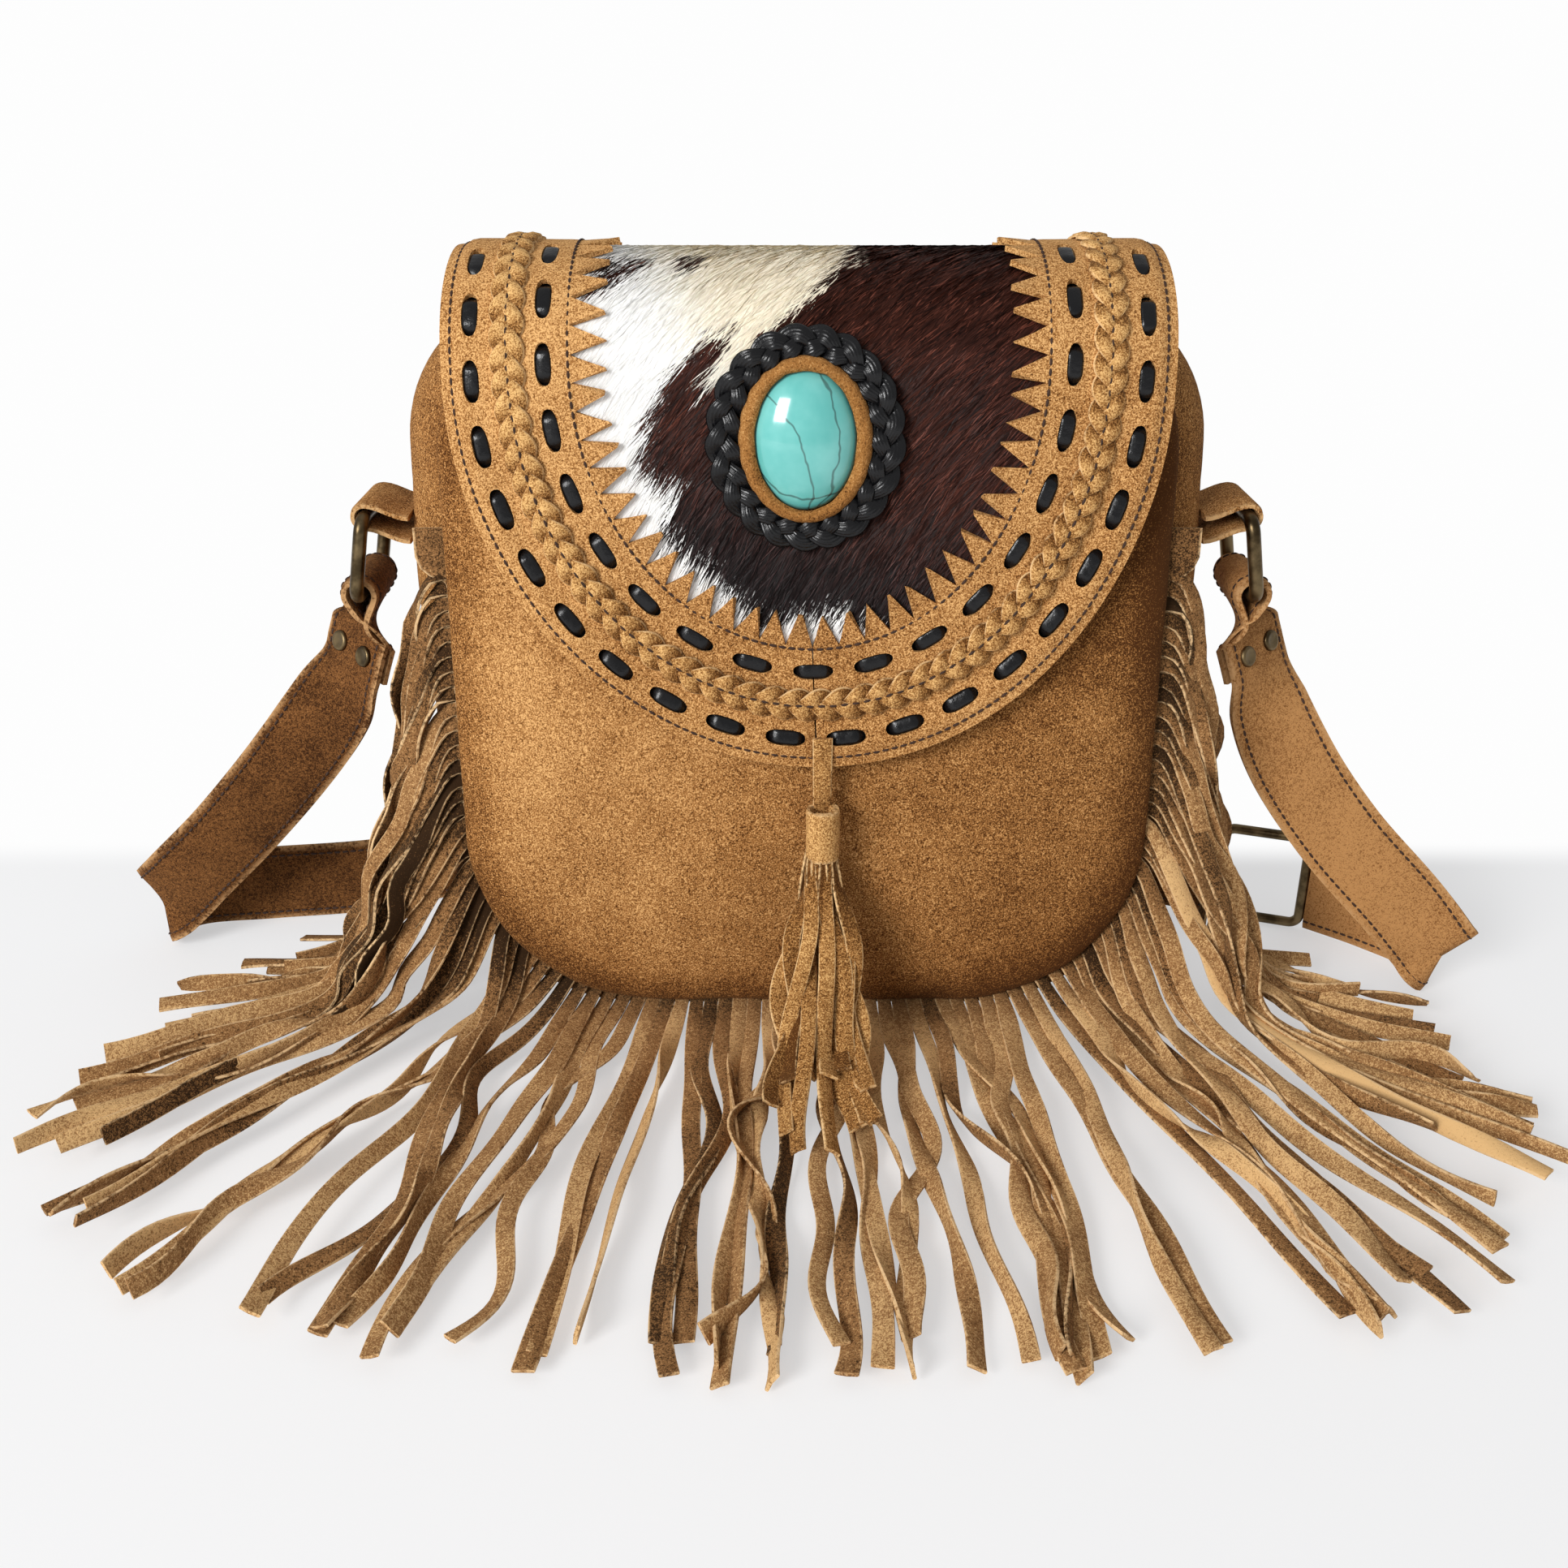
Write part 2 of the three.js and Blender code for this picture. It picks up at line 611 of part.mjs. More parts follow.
function setting(angle, reachX, reachZ, lift) {
  const x = STONE_X + reachX * Math.cos(angle);
  return drape(x, STONE_DOWN - reachZ * Math.sin(angle), SETTING_FLOOR + lift);
}

function stone() {
  const geometry = new THREE.SphereGeometry(1, 16, 6, 0, Math.PI * 2, 0, Math.PI / 2);
  const floor = new THREE.CircleGeometry(1, 16);
  const dome = closed(geometry);
  const base = closed(floor.rotateX(Math.PI / 2));
  const corners = [...dome.getAttribute('position').array, ...base.getAttribute('position').array];
  const shift = dome.getAttribute('position').count;
  const whole = new THREE.BufferGeometry();
  whole.setAttribute('position', new THREE.BufferAttribute(new Float32Array(corners), 3));
  whole.setIndex([...dome.getIndex().array, ...Array.from(base.getIndex().array, (k) => k + shift)]);
  const p = whole.getAttribute('position');
  for (let i = 0; i < p.count; i += 1) {
    const angle = Math.atan2(p.getZ(i), p.getX(i));
    const reach = Math.hypot(p.getX(i), p.getZ(i));
    const spot = setting(angle, reach * STONE_WIDTH / 2, reach * STONE_HEIGHT / 2, p.getY(i) * STONE_DOME);
    p.setXYZ(i, spot[0], spot[1], spot[2]);
  }
  return closed(whole);
}

const bezelProfile = [
  [CLEARANCE, 0],
  [BEZEL_WALL, 0],
  [BEZEL_WALL - 0.5, 0.7 * BEZEL_HEIGHT],
  [BEZEL_WALL - 2, BEZEL_HEIGHT],
  [-BEZEL_LIP, BEZEL_HEIGHT],
  [CLEARANCE, 0.8 * BEZEL_HEIGHT],
];
const bezel = wrapped(24, bezelProfile.length, (u, v) => {
  const [out, lift] = bezelProfile[Math.round(v * bezelProfile.length) % bezelProfile.length];
  return setting(u * 2 * Math.PI, STONE_WIDTH / 2 + out, STONE_HEIGHT / 2 + out, lift);
});

const ringSides = 6;
const ringBraid = wrapped(2 * RING_BRAID_LOBES, ringSides, (u, v) => {
  const step = Math.round(u * 2 * RING_BRAID_LOBES);
  const corner = Math.round(v * ringSides) % ringSides;
  const outerSide = corner < 2 || corner === ringSides - 1;
  const full = (step + (outerSide ? 0 : 1)) % 2 === 0 ? 1 : 0.72;
  const turn = (corner + 0.5) * 2 * Math.PI / ringSides;
  const middle = BEZEL_WALL + CLEARANCE + RING_BRAID_WIDTH / 2;
  const out = middle + Math.cos(turn) / Math.cos(Math.PI / ringSides) * full * RING_BRAID_WIDTH / 2;
  const lift = RING_BRAID_HEIGHT / 2 * (1 + Math.sin(turn) * (Math.sin(turn) > 0 ? full : 1));
  return setting(u * 2 * Math.PI, STONE_WIDTH / 2 + out, STONE_HEIGHT / 2 + out, lift);
});

add('stone_cabochon', stone(), paint(STONE_TURQUOISE, 0.15));
add('stone_bezel', bezel, paint(SUEDE_DARK));
add('braided_ring', ringBraid, paint(LACE_BLACK, 0.5));

// Thong and tassel, hanging from the tip of the flap
const tipSpot = drape(0, FLAP_DROP - THONG_ON_FLAP, BORDER_TOP + CLEARANCE + THONG / 2);
const thongTop = vec(tipSpot[0] + 2, tipSpot[1], tipSpot[2]);
const headTop = thongTop.z - THONG_LENGTH - CLEARANCE;
const headBottom = headTop - HEAD_LENGTH;
const thongEnd = thongTop.clone().setZ(headTop + CLEARANCE);
const sideWays = vec(1, 0, 0);
const thongPath = [thongTop, thongTop.clone().lerp(thongEnd, 0.5), thongEnd];
const thong = ribbon(thongPath, [sideWays, sideWays, sideWays], THONG_WIDTH, THONG, 2);
add('tassel_thong', thong, paint(SUEDE_GOLD));

const headRadius = HEAD_DIAMETER / 2;
const tasselHead = new THREE.CylinderGeometry(headRadius, headRadius + TASSEL_STRAND, HEAD_LENGTH, 12);
tasselHead.rotateX(Math.PI / 2);
const headY = thongTop.y - headRadius + THONG;
tasselHead.translate(thongTop.x, headY, headTop - HEAD_LENGTH / 2);

function tasselStrand(index) {
  const angle = (index + 0.5) / TASSEL_STRANDS * 2 * Math.PI;
  const root = vec(thongTop.x, headY, headBottom + SUEDE);
  root.x += headRadius * Math.cos(angle);
  root.y += headRadius * Math.sin(angle);
  const ease = (share) => root.clone().add(vec(
    TASSEL_SPREAD / 2 * Math.cos(angle) * share,
    (0.16 * Math.sin(angle) - 1) * TASSEL_REACH * share ** 1.6,
    0,
  ));
  const end = TASSEL_END_HEIGHT + 3 * (1 + Math.sin(angle));
  const fall = (share) => mix(root.z, end, Math.sin(share * Math.PI / 2));
  const points = [0, 0.3, 0.6, 0.85, 1].map((share) => ease(share).setZ(fall(share)));
  const turned = vec(-Math.sin(angle), Math.cos(angle), 0);
  const widths = [turned, turned, turned.clone().lerp(sideWays, 0.4), sideWays, sideWays];
  return ribbon(points, widths, TASSEL_STRAND_WIDTH, TASSEL_STRAND, 4);
}

const tasselStrands = Array.from({ length: TASSEL_STRANDS }, (_, index) => tasselStrand(index));
add('tassel', fromSolid(joined([closed(tasselHead), ...tasselStrands])), paint(SUEDE_GOLD));

// Rings, their tabs, straps and rivets on both sides
const LEAN = THREE.MathUtils.degToRad(RING_LEAN_DEG);
const RING_DROP = RING_INNER_HEIGHT + RING_WIRE;
const RING_X = HALF_WIDTH + SIDE_BULGE + TAB_REACH;
const LOOP_RADIUS = RING_WIRE / 2 + RING_PLAY;

// A wire bent to a rectangle with round corners
const CORNER_POINTS = 5;

function wireLoop(width, height, wire, place) {
  return wrapped(4 * CORNER_POINTS, 6, (u, v) => {
    const station = Math.round(u * 4 * CORNER_POINTS) % (4 * CORNER_POINTS);
    const corner = Math.floor(station / CORNER_POINTS);
    const angle = (corner + (station % CORNER_POINTS) / (CORNER_POINTS - 1)) * Math.PI / 2;
    const round = v * 2 * Math.PI;
    const reach = wire + wire / 2 * Math.cos(round);
    const a = (corner === 0 || corner === 3 ? 1 : -1) * (width - wire) / 2 + reach * Math.cos(angle);
    const b = (corner < 2 ? 1 : -1) * (height - wire) / 2 + reach * Math.sin(angle);
    return place(a, b, wire / 2 * Math.sin(round));
  });
}

function sidePieces(side, name, route) {
  const top = vec(side * RING_X, 0, RING_HEIGHT);
  const downwards = vec(side * Math.sin(LEAN), 0, -Math.cos(LEAN));
  const outwards = vec(side * Math.cos(LEAN), 0, Math.sin(LEAN));
  const middle = top.clone().addScaledVector(downwards, RING_DROP / 2);
  const bar = top.clone().addScaledVector(downwards, RING_DROP);

  const loop = wireLoop(RING_INNER_WIDTH, RING_INNER_HEIGHT, RING_WIRE, (a, b, c) => middle.clone()
    .add(vec(0, a, 0)).addScaledVector(downwards, b).addScaledVector(outwards, c).toArray());
  add(`ring_${name}`, loop, paint(BRASS_AGED, 0.4, 1));

  const tabLoop = [...Array(7).keys()].map((k) => {
    const angle = (k / 6 - 0.5) * Math.PI;
    const reach = LOOP_RADIUS + TAB / 2;
    return vec(top.x + side * reach * Math.cos(angle), 0, top.z + reach * Math.sin(angle));
  });
  const sewn = side * (HALF_WIDTH + SIDE_BULGE + CLEARANCE);
  const tabPath = [tabLoop[0].clone().setX(sewn), ...tabLoop, tabLoop[6].clone().setX(sewn)];
  add(`tab_${name}`, ribbon(tabPath, tabPath.map(() => vec(0, 1, 0)), TAB_WIDTH, TAB, 14), paint(SUEDE_TAN));

  const hold = LOOP_RADIUS + STRAP_PLAY + STRAP / 2;
  const start = bar.clone().add(vec(side * hold, 0, 0));
  const points = [start, ...route.map((step) => vec(side * (RING_X + step.out), step.away, step.high))];
  const wideOf = (step) => vec(-side * step.wide[0], step.wide[1], step.wide[2]);
  const widths = [vec(0, -1, 0), ...route.map(wideOf)];
  const frameAt = ribbonFrame(points, widths);
  const inward = Math.sign(frameAt(0).normal.x * -side);
  const behind = (u) => {
    const frame = frameAt(u);
    return frame.point.addScaledVector(frame.normal, inward * (STRAP + FOLD_GAP));
  };
  const eyeTop = [0.25, 0.5, 0.75].map((k) => bar.clone().add(
    vec(side * hold * Math.cos(k * Math.PI), 0, hold * Math.sin(k * Math.PI))));
  const tailShares = [RIVET_STEP + 1, RIVET_STEP, RIVET_STEP - 1, 1].map((step) => step / route.length);
  const eyeSide = bar.clone().add(vec(-side * hold, 0, 0));
  const folded = [...tailShares.map(behind), eyeSide, ...eyeTop.reverse(), ...points];
  const flatWide = vec(0, -1, 0);
  const tailWide = tailShares.map((u) => frameAt(u).width);
  const foldedWide = [...tailWide, flatWide, flatWide, flatWide, flatWide, ...widths];
  const strip = ribbon(folded, foldedWide, STRAP_WIDTH, STRAP, 2 * (folded.length - 1));

  const seat = frameAt(RIVET_STEP / route.length);
  const depth = [-STRAP / 2, STRAP * 1.5 + FOLD_GAP];
  const rivetAt = (k) => seat.point.clone().addScaledVector(seat.width, k * RIVET_SPACING / 2);
  const inwards = seat.normal.clone().multiplyScalar(inward);
  const facing = new THREE.Quaternion().setFromUnitVectors(vec(0, 1, 0), inwards);
  const holes = [-1, 1].map((k) => {
    const boreRadius = RIVET_SHANK / 2 + CLEARANCE;
    const bore = new THREE.CylinderGeometry(boreRadius, boreRadius, 6 * STRAP, 8);
    bore.applyQuaternion(facing);
    bore.translate(...rivetAt(k).toArray());
    return closed(bore);
  });
  add(`strap_${name}`, cutAway(strip, holes), paint(SUEDE_DARK));

  [-1, 1].forEach((k, index) => {
    const low = depth[0] - RIVET_GAP;
    const up = depth[1] + RIVET_GAP;
    const r = RIVET_DIAMETER / 2;
    const profile = [[0, low - RIVET_CAP], [r, low], [RIVET_SHANK / 2, low],
      [RIVET_SHANK / 2, up], [r, up], [0, up + RIVET_CAP]];
    const rivet = new THREE.LatheGeometry(profile.map(([a, b]) => new THREE.Vector2(a, b)), 10);
    rivet.applyQuaternion(facing);
    rivet.translate(...rivetAt(k).toArray());
    add(`rivet_${name}_${index + 1}`, closed(rivet), paint(BRASS_AGED, 0.4, 1));
  });
}

// Strap routes from each ring: outwards past the ring, away from the viewer, height and width direction
const EDGE_ON = [0, 0, -1];
const ALONG_BAR = [0.12, -1, -0.05];
const RIVET_WIDE = [0.62, -0.66, -0.42];
const STRAP_REST = STRAP_WIDTH / 2 + 1;
const BEHIND = BASE_DEPTH / 2 + BACK_BULGE + 4;
const leftRoute = [
  { out: 7, away: 0, high: 129, wide: ALONG_BAR },
  { out: 9, away: -1, high: 122, wide: RIVET_WIDE },
  { out: 11, away: -1.5, high: 116, wide: RIVET_WIDE },
  { out: 13, away: -2, high: 110, wide: RIVET_WIDE },
  { out: 20, away: -3, high: 98, wide: [0.7, -0.3, -0.64] },
  { out: 36, away: -4, high: 77, wide: [0.74, 0.1, -0.64] },
  { out: 60, away: -2, high: 50, wide: [0.74, 0.2, -0.64] },
  { out: 83, away: 2, high: 27, wide: [0.6, 0.15, -0.78] },
  { out: 93, away: 9, high: STRAP_REST, wide: [0.2, 0, -1] },
  { out: 86, away: 18, high: STRAP_REST, wide: EDGE_ON },
  { out: 60, away: 23, high: STRAP_REST, wide: EDGE_ON },
  { out: 20, away: 30, high: STRAP_REST, wide: EDGE_ON },
  { out: -18, away: BEHIND - 3, high: STRAP_REST, wide: EDGE_ON },
  { out: -60, away: BEHIND, high: STRAP_REST, wide: EDGE_ON },
  { out: -RING_X, away: BEHIND, high: STRAP_REST, wide: EDGE_ON },
  { out: -2 * RING_X + 40, away: BEHIND - 3, high: STRAP_REST, wide: EDGE_ON },
  { out: -RING_X - BUCKLE_X + BUCKLE_GAP, away: BUCKLE_FAR, high: STRAP_REST, wide: EDGE_ON },
];
const rightRoute = [
  { out: 7, away: 0, high: 129, wide: ALONG_BAR },
  { out: 9, away: -1, high: 122, wide: RIVET_WIDE },
  { out: 11, away: -1.5, high: 116, wide: RIVET_WIDE },
  { out: 13, away: -2, high: 110, wide: RIVET_WIDE },
  { out: 17, away: -4, high: 97, wide: [0.7, -0.4, -0.6] },
  { out: 27, away: -8, high: 77, wide: [0.74, -0.1, -0.62] },
  { out: 44, away: -14, high: 54, wide: [0.76, 0, -0.62] },
  { out: 66, away: -23, high: 31, wide: [0.74, 0, -0.66] },
  { out: 79, away: -27, high: STRAP_REST, wide: [0.35, 0.2, -0.92] },
  { out: 78, away: -15, high: STRAP_REST, wide: EDGE_ON },
  { out: 64, away: 2, high: STRAP_REST, wide: EDGE_ON },
  { out: BUCKLE_X + BUCKLE_GAP - RING_X, away: BUCKLE_NEAR, high: STRAP_REST, wide: EDGE_ON },
];
sidePieces(-1, 'left', leftRoute);
sidePieces(1, 'right', rightRoute);

// Buckle frame between the two strap ends
const buckleSlope = Math.atan2(BUCKLE_FAR - BUCKLE_NEAR, -2 * BUCKLE_GAP);
const buckleAlong = vec(Math.cos(buckleSlope), Math.sin(buckleSlope), 0);
const buckleOut = vec(-Math.sin(buckleSlope), Math.cos(buckleSlope), 0);
const buckleRest = BUCKLE_OPENING / 2 + BUCKLE_WIRE + CLEARANCE;
const buckleMiddle = vec(BUCKLE_X, (BUCKLE_FAR + BUCKLE_NEAR) / 2, buckleRest);
const buckleReach = Math.hypot(BUCKLE_GAP, (BUCKLE_FAR - BUCKLE_NEAR) / 2);
const buckleInner = 2 * (buckleReach - BUCKLE_WIRE - CLEARANCE);
const buckle = wireLoop(buckleInner, BUCKLE_OPENING, BUCKLE_WIRE, (a, b, c) => buckleMiddle.clone()
  .addScaledVector(buckleAlong, a).add(vec(0, 0, b)).addScaledVector(buckleOut, c).toArray());
add('strap_buckle', buckle, paint(BRASS_AGED, 0.45, 1));

export default bag;
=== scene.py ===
# %% [markdown]
# A fringed suede shoulder bag with a laced flap, a hide panel, a stone and a tassel. The CAD frame gives
# the sizes and the bodies that move. Each piece is made again here with the folds, cut edges, stitches and
# hair that the CAD leaves out, and takes the place of its CAD node.

# %% Load the frame
import math

import bmesh
import bpy
import numpy as np
from mathutils import Matrix, Vector, geometry


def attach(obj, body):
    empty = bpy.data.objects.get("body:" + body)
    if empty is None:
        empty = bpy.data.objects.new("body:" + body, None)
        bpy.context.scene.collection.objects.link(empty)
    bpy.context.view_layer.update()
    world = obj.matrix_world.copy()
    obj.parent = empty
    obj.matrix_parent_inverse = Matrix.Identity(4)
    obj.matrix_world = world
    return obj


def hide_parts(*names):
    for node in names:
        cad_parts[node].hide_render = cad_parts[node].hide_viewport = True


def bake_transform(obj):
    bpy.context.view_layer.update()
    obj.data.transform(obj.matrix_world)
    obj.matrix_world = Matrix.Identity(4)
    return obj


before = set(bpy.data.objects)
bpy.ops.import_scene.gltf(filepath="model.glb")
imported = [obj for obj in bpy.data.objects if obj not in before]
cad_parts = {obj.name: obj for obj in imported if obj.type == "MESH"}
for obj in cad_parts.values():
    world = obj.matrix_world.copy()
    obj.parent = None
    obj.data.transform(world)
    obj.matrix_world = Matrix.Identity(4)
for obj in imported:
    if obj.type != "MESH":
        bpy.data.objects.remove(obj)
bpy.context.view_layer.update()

# %% [markdown]
# Lengths are in millimetres, as on a pattern cutter's table, and are turned to metres when a mesh is made.
# Leather could be shaped by dragging points. Here most pieces are sheets and ribbons that lie on surfaces
# given by a formula, because a formula keeps neighbours a chosen gap apart.

# %% Small tools for arrays
MM = 0.001
rng = np.random.default_rng(11)


def spots(x, y, z):
    return np.stack(np.broadcast_arrays(x, y, z), axis=-1).astype(float)


def unit(vectors):
    return vectors / np.linalg.norm(vectors, axis=-1, keepdims=True)


def mix(a, b, share):
    return a + (b - a) * share


def ease(low, high, value):
    share = np.clip((value - low) / (high - low), 0, 1)
    return share * share * (3 - 2 * share)


def headings(line, closed=False):
    """Directions along a line of points."""
    if closed:
        return np.roll(line, -1, axis=0) - np.roll(line, 1, axis=0)
    return np.gradient(line, axis=0)


def square(across, along):
    """The part of one direction that is square to another."""
    return unit(across - along * np.sum(across * along, axis=1, keepdims=True))


def through(points, shares):
    """Points of a smooth curve through the given ones, at shares of its spans."""
    p = np.asarray(points, float)
    p = np.vstack([2 * p[0] - p[1], p, 2 * p[-1] - p[-2]])
    spans = len(p) - 3
    place = np.clip(shares, 0, 1) * spans
    first = np.minimum(place.astype(int), spans - 1)
    w = (place - first)[:, None]
    p0, p1, p2, p3 = (p[first + k] for k in range(4))
    d0, d1, d2 = (np.maximum(np.sum((b - a) ** 2, axis=1, keepdims=True) ** 0.25, 1e-4)
                  for a, b in ((p0, p1), (p1, p2), (p2, p3)))
    m1 = ((p1 - p0) / d0 - (p2 - p0) / (d0 + d1) + (p2 - p1) / d1) * d1
    m2 = ((p2 - p1) / d1 - (p3 - p1) / (d1 + d2) + (p3 - p2) / d2) * d1
    return p1 + m1 * w + (3 * p2 - 3 * p1 - 2 * m1 - m2) * w**2 + (2 * p1 - 2 * p2 + m1 + m2) * w**3


# %% [markdown]
# A mesh is a list of points and a list of faces. It could be drawn from primitives alone, but strands and
# plaits are easier to give as rows of points. These tools make a mesh of such rows, join corners that meet
# and turn the faces outwards, so that every piece ends up clean in the same way.

# %% Small tools for meshes
SHARP_ANGLE = math.radians(55)
WELD = 0.02 * MM


def only(obj):
    bpy.ops.object.select_all(action="DESELECT")
    obj.select_set(True)
    bpy.context.view_layer.objects.active = obj


def open_up(obj):
    """Opens a piece in edit mode with all of it selected."""
    only(obj)
    bpy.ops.object.mode_set(mode="EDIT")
    bpy.ops.mesh.select_all(action="SELECT")
    return obj


def primitive(name, operator, **sizes):
    """Adds a primitive while nothing else is selected."""
    bpy.ops.object.select_all(action="DESELECT")
    operator(**sizes)
    bpy.context.object.name = name
    return bpy.context.object


def tidy(obj):
    """Joins corners that meet, turns closed shells outwards and shades the mesh smooth."""
    open_up(obj)
    bpy.ops.mesh.remove_doubles(threshold=WELD)
    bpy.ops.mesh.normals_make_consistent(inside=False)
    bpy.ops.object.mode_set(mode="OBJECT")
    bpy.ops.object.shade_smooth_by_angle(angle=SHARP_ANGLE)
    return obj


def points_of(obj):
    flat = np.empty(3 * len(obj.data.vertices))
    obj.data.vertices.foreach_get("co", flat)
    return flat.reshape(-1, 3)


def store(mesh, key, values):
    """Keeps a number or a colour at each point of a mesh, for the finishes to read."""
    kind, field = ("FLOAT", "value") if values.ndim == 1 else ("FLOAT_COLOR", "color")
    mesh.attributes.new(key, kind, "POINT").data.foreach_set(field, values.ravel())


def mesh_of(name, points, faces, **attributes):
    """A mesh object from points in millimetres, with named values at its points."""
    mesh = bpy.data.meshes.new(name)
    mesh.from_pydata((np.asarray(points) * MM).tolist(), [], [list(map(int, f)) for f in faces])
    for key, values in attributes.items():
        store(mesh, key, np.asarray(values, float))
    obj = bpy.data.objects.new(name, mesh)
    bpy.context.collection.objects.link(obj)
    return obj


def net(rows, columns, closed):
    """Faces of a tube whose points are counted ring by ring."""
    r, c = (g.ravel() for g in np.meshgrid(np.arange(rows if closed else rows - 1), np.arange(columns),
                                           indexing="ij"))
    r2, c2 = (r + 1) % rows, (c + 1) % columns
    return np.stack([r * columns + c, r * columns + c2, r2 * columns + c2, r2 * columns + c], axis=1)


def tube(sections, closed=False):
    """Points and faces of a tube through sections, with flat ends unless it is closed."""
    rows, columns = sections.shape[:2]
    faces = net(rows, columns, closed).tolist()
    if not closed:
        faces += [list(range(columns)), list(range((rows - 1) * columns, rows * columns))]
    return sections.reshape(-1, 3), faces


def gather(parts):
    """One list of points and faces out of several."""
    points, faces, shift = [], [], 0
    for some, theirs in parts:
        points.append(some)
        faces += [[k + shift for k in f] for f in theirs]
        shift += len(some)
    return np.vstack(points), faces


# %% [markdown]
# Strands, straps, laces and plaits are all cut from flat leather. Each could be a bevelled curve, but a
# curve doesn't turn its edge as leather does. So a ribbon is a rounded section that is carried along a line
# with its own width direction. The value "edge" marks its cut sides, where the pale inside of the leather
# shows.

# %% Ribbons
FLAT_SECTION = np.array([(-.5, -.3), (-.43, -.5), (0, -.5), (.43, -.5), (.5, -.3),
                         (.5, .3), (.43, .5), (0, .5), (-.43, .5), (-.5, .3)])
ROUND_TURNS = np.arange(12) / 12 * 2 * np.pi
PLUMP_SECTION = 0.5 * np.stack([np.sign(np.cos(ROUND_TURNS)) * abs(np.cos(ROUND_TURNS)) ** 0.7,
                                np.sin(ROUND_TURNS)], axis=1)
CUT_SIDE = (0.44, 0.5)


def ribbon(centre, across, width, thick, section=FLAT_SECTION, closed=False, cup=0.0):
    """Points and faces of a ribbon along a centre line, and how far across each point lies."""
    along = unit(headings(centre, closed))
    across = square(across, along)
    up = np.cross(along, across)
    width, thick, cup = (np.broadcast_to(size, len(centre))[:, None, None] for size in (width, thick, cup))
    s, t = section[None, :, :1], section[None, :, 1:]
    rise = t * thick + cup * (4 * s**2 - 1 / 3)
    body = centre[:, None] + across[:, None] * s * width + up[:, None] * rise
    return *tube(body, closed), np.broadcast_to(section[:, 0], body.shape[:2]).ravel()


def ribbon_piece(name, strips, shades=None):
    """One piece out of several strips, each with one shade or with a shade at each point."""
    shades = np.zeros(len(strips)) if shades is None else shades
    points, faces = gather([strip[:2] for strip in strips])
    across = np.concatenate([strip[2] for strip in strips])
    shade = np.concatenate([np.broadcast_to(tone, len(strip[0])) for tone, strip in zip(shades, strips)])
    return tidy(mesh_of(name, points, faces, edge=ease(*CUT_SIDE, abs(across)), across=across, shade=shade))


# %% [markdown]
# Every finish is made of shader nodes. They could be wired one by one, but long chains are hard to read. A
# small class lets sockets be added and multiplied like numbers, and one method adds any other node, so that
# a finish reads like a recipe.

# %% Finishes
def srgb(red, green, blue):
    channels = np.array([red, green, blue]) / 255
    linear = np.where(channels <= 0.04045, channels / 12.92, ((channels + 0.055) / 1.055) ** 2.4)
    return (*linear.tolist(), 1.0)


class Value:
    """A socket that can be used in sums."""

    def __init__(self, finish, socket):
        self.finish, self.socket = finish, socket

    def __add__(self, other):
        return self.finish.math("ADD", self, other)

    def __sub__(self, other):
        return self.finish.math("SUBTRACT", self, other)

    def __mul__(self, other):
        return self.finish.math("MULTIPLY", self, other)


class Finish:
    """A material with one Principled shader, built from expressions."""

    def __init__(self, name):
        self.material = bpy.data.materials.new(name)
        self.material.use_nodes = True
        self.tree = self.material.node_tree
        self.shader = self.tree.nodes["Principled BSDF"]

    def node(self, kind, settings, sockets, output=0):
        made = self.tree.nodes.new(kind)
        for key, value in settings.items():
            setattr(made, key, value)
        for key, value in sockets.items():
            self.feed(made.inputs[key], value)
        return Value(self, made.outputs[output])

    def feed(self, socket, value):
        if isinstance(value, Value):
            self.tree.links.new(value.socket, socket)
        else:
            socket.default_value = value

    def math(self, operation, *values):
        return self.node("ShaderNodeMath", {"operation": operation}, dict(enumerate(values)))

    def vector(self, operation, *values, output=0):
        return self.node("ShaderNodeVectorMath", {"operation": operation}, dict(enumerate(values)), output)

    def place(self):
        return self.node("ShaderNodeTexCoord", {}, {}, "Object")

    def noise(self, scale, detail=2.0, roughness=0.55, output=0):
        return self.node("ShaderNodeTexNoise", {}, {"Vector": self.place(), "Scale": scale, "Detail": detail,
                                                    "Roughness": roughness}, output)

    def attribute(self, name, output="Fac"):
        return self.node("ShaderNodeAttribute", {"attribute_name": name}, {}, output)

    def between(self, value, low, high):
        return self.node("ShaderNodeMapRange", {"interpolation_type": "SMOOTHSTEP"},
                         {"Value": value, "From Min": low, "From Max": high})

    def blend(self, share, a, b):
        return self.node("ShaderNodeMix", {"data_type": "RGBA"}, {0: share, 6: a, 7: b}, 2)

    def bump(self, height, strength, distance):
        return self.node("ShaderNodeBump", {}, {"Height": height, "Strength": strength, "Distance": distance})

    def set(self, **values):
        for key, value in values.items():
            self.feed(self.shader.inputs[key.replace("_", " ")], value)
        return self.material


# %% [markdown]
# Suede is split leather with a raised nap. It could be a scanned picture, but noise has no edge and no
# repeat. Four noises stand for what is seen on the real thing: single fibres, tufts, brush marks and large
# patches that catch the light differently. Cut edges are paler because the dye doesn't reach the middle.

# %% Suede
FIBRE_SCALE, TUFT_SCALE, BRUSH_SCALE, PATCH_SCALE = 2200, 900, 90, 9
TUFT_SHARE, BRUSH_SHARE, PATCH_SHARE = 1.4, 0.7, 1.3
FULL_TONE, NAP_DEPTH = 0.9, 0.0006


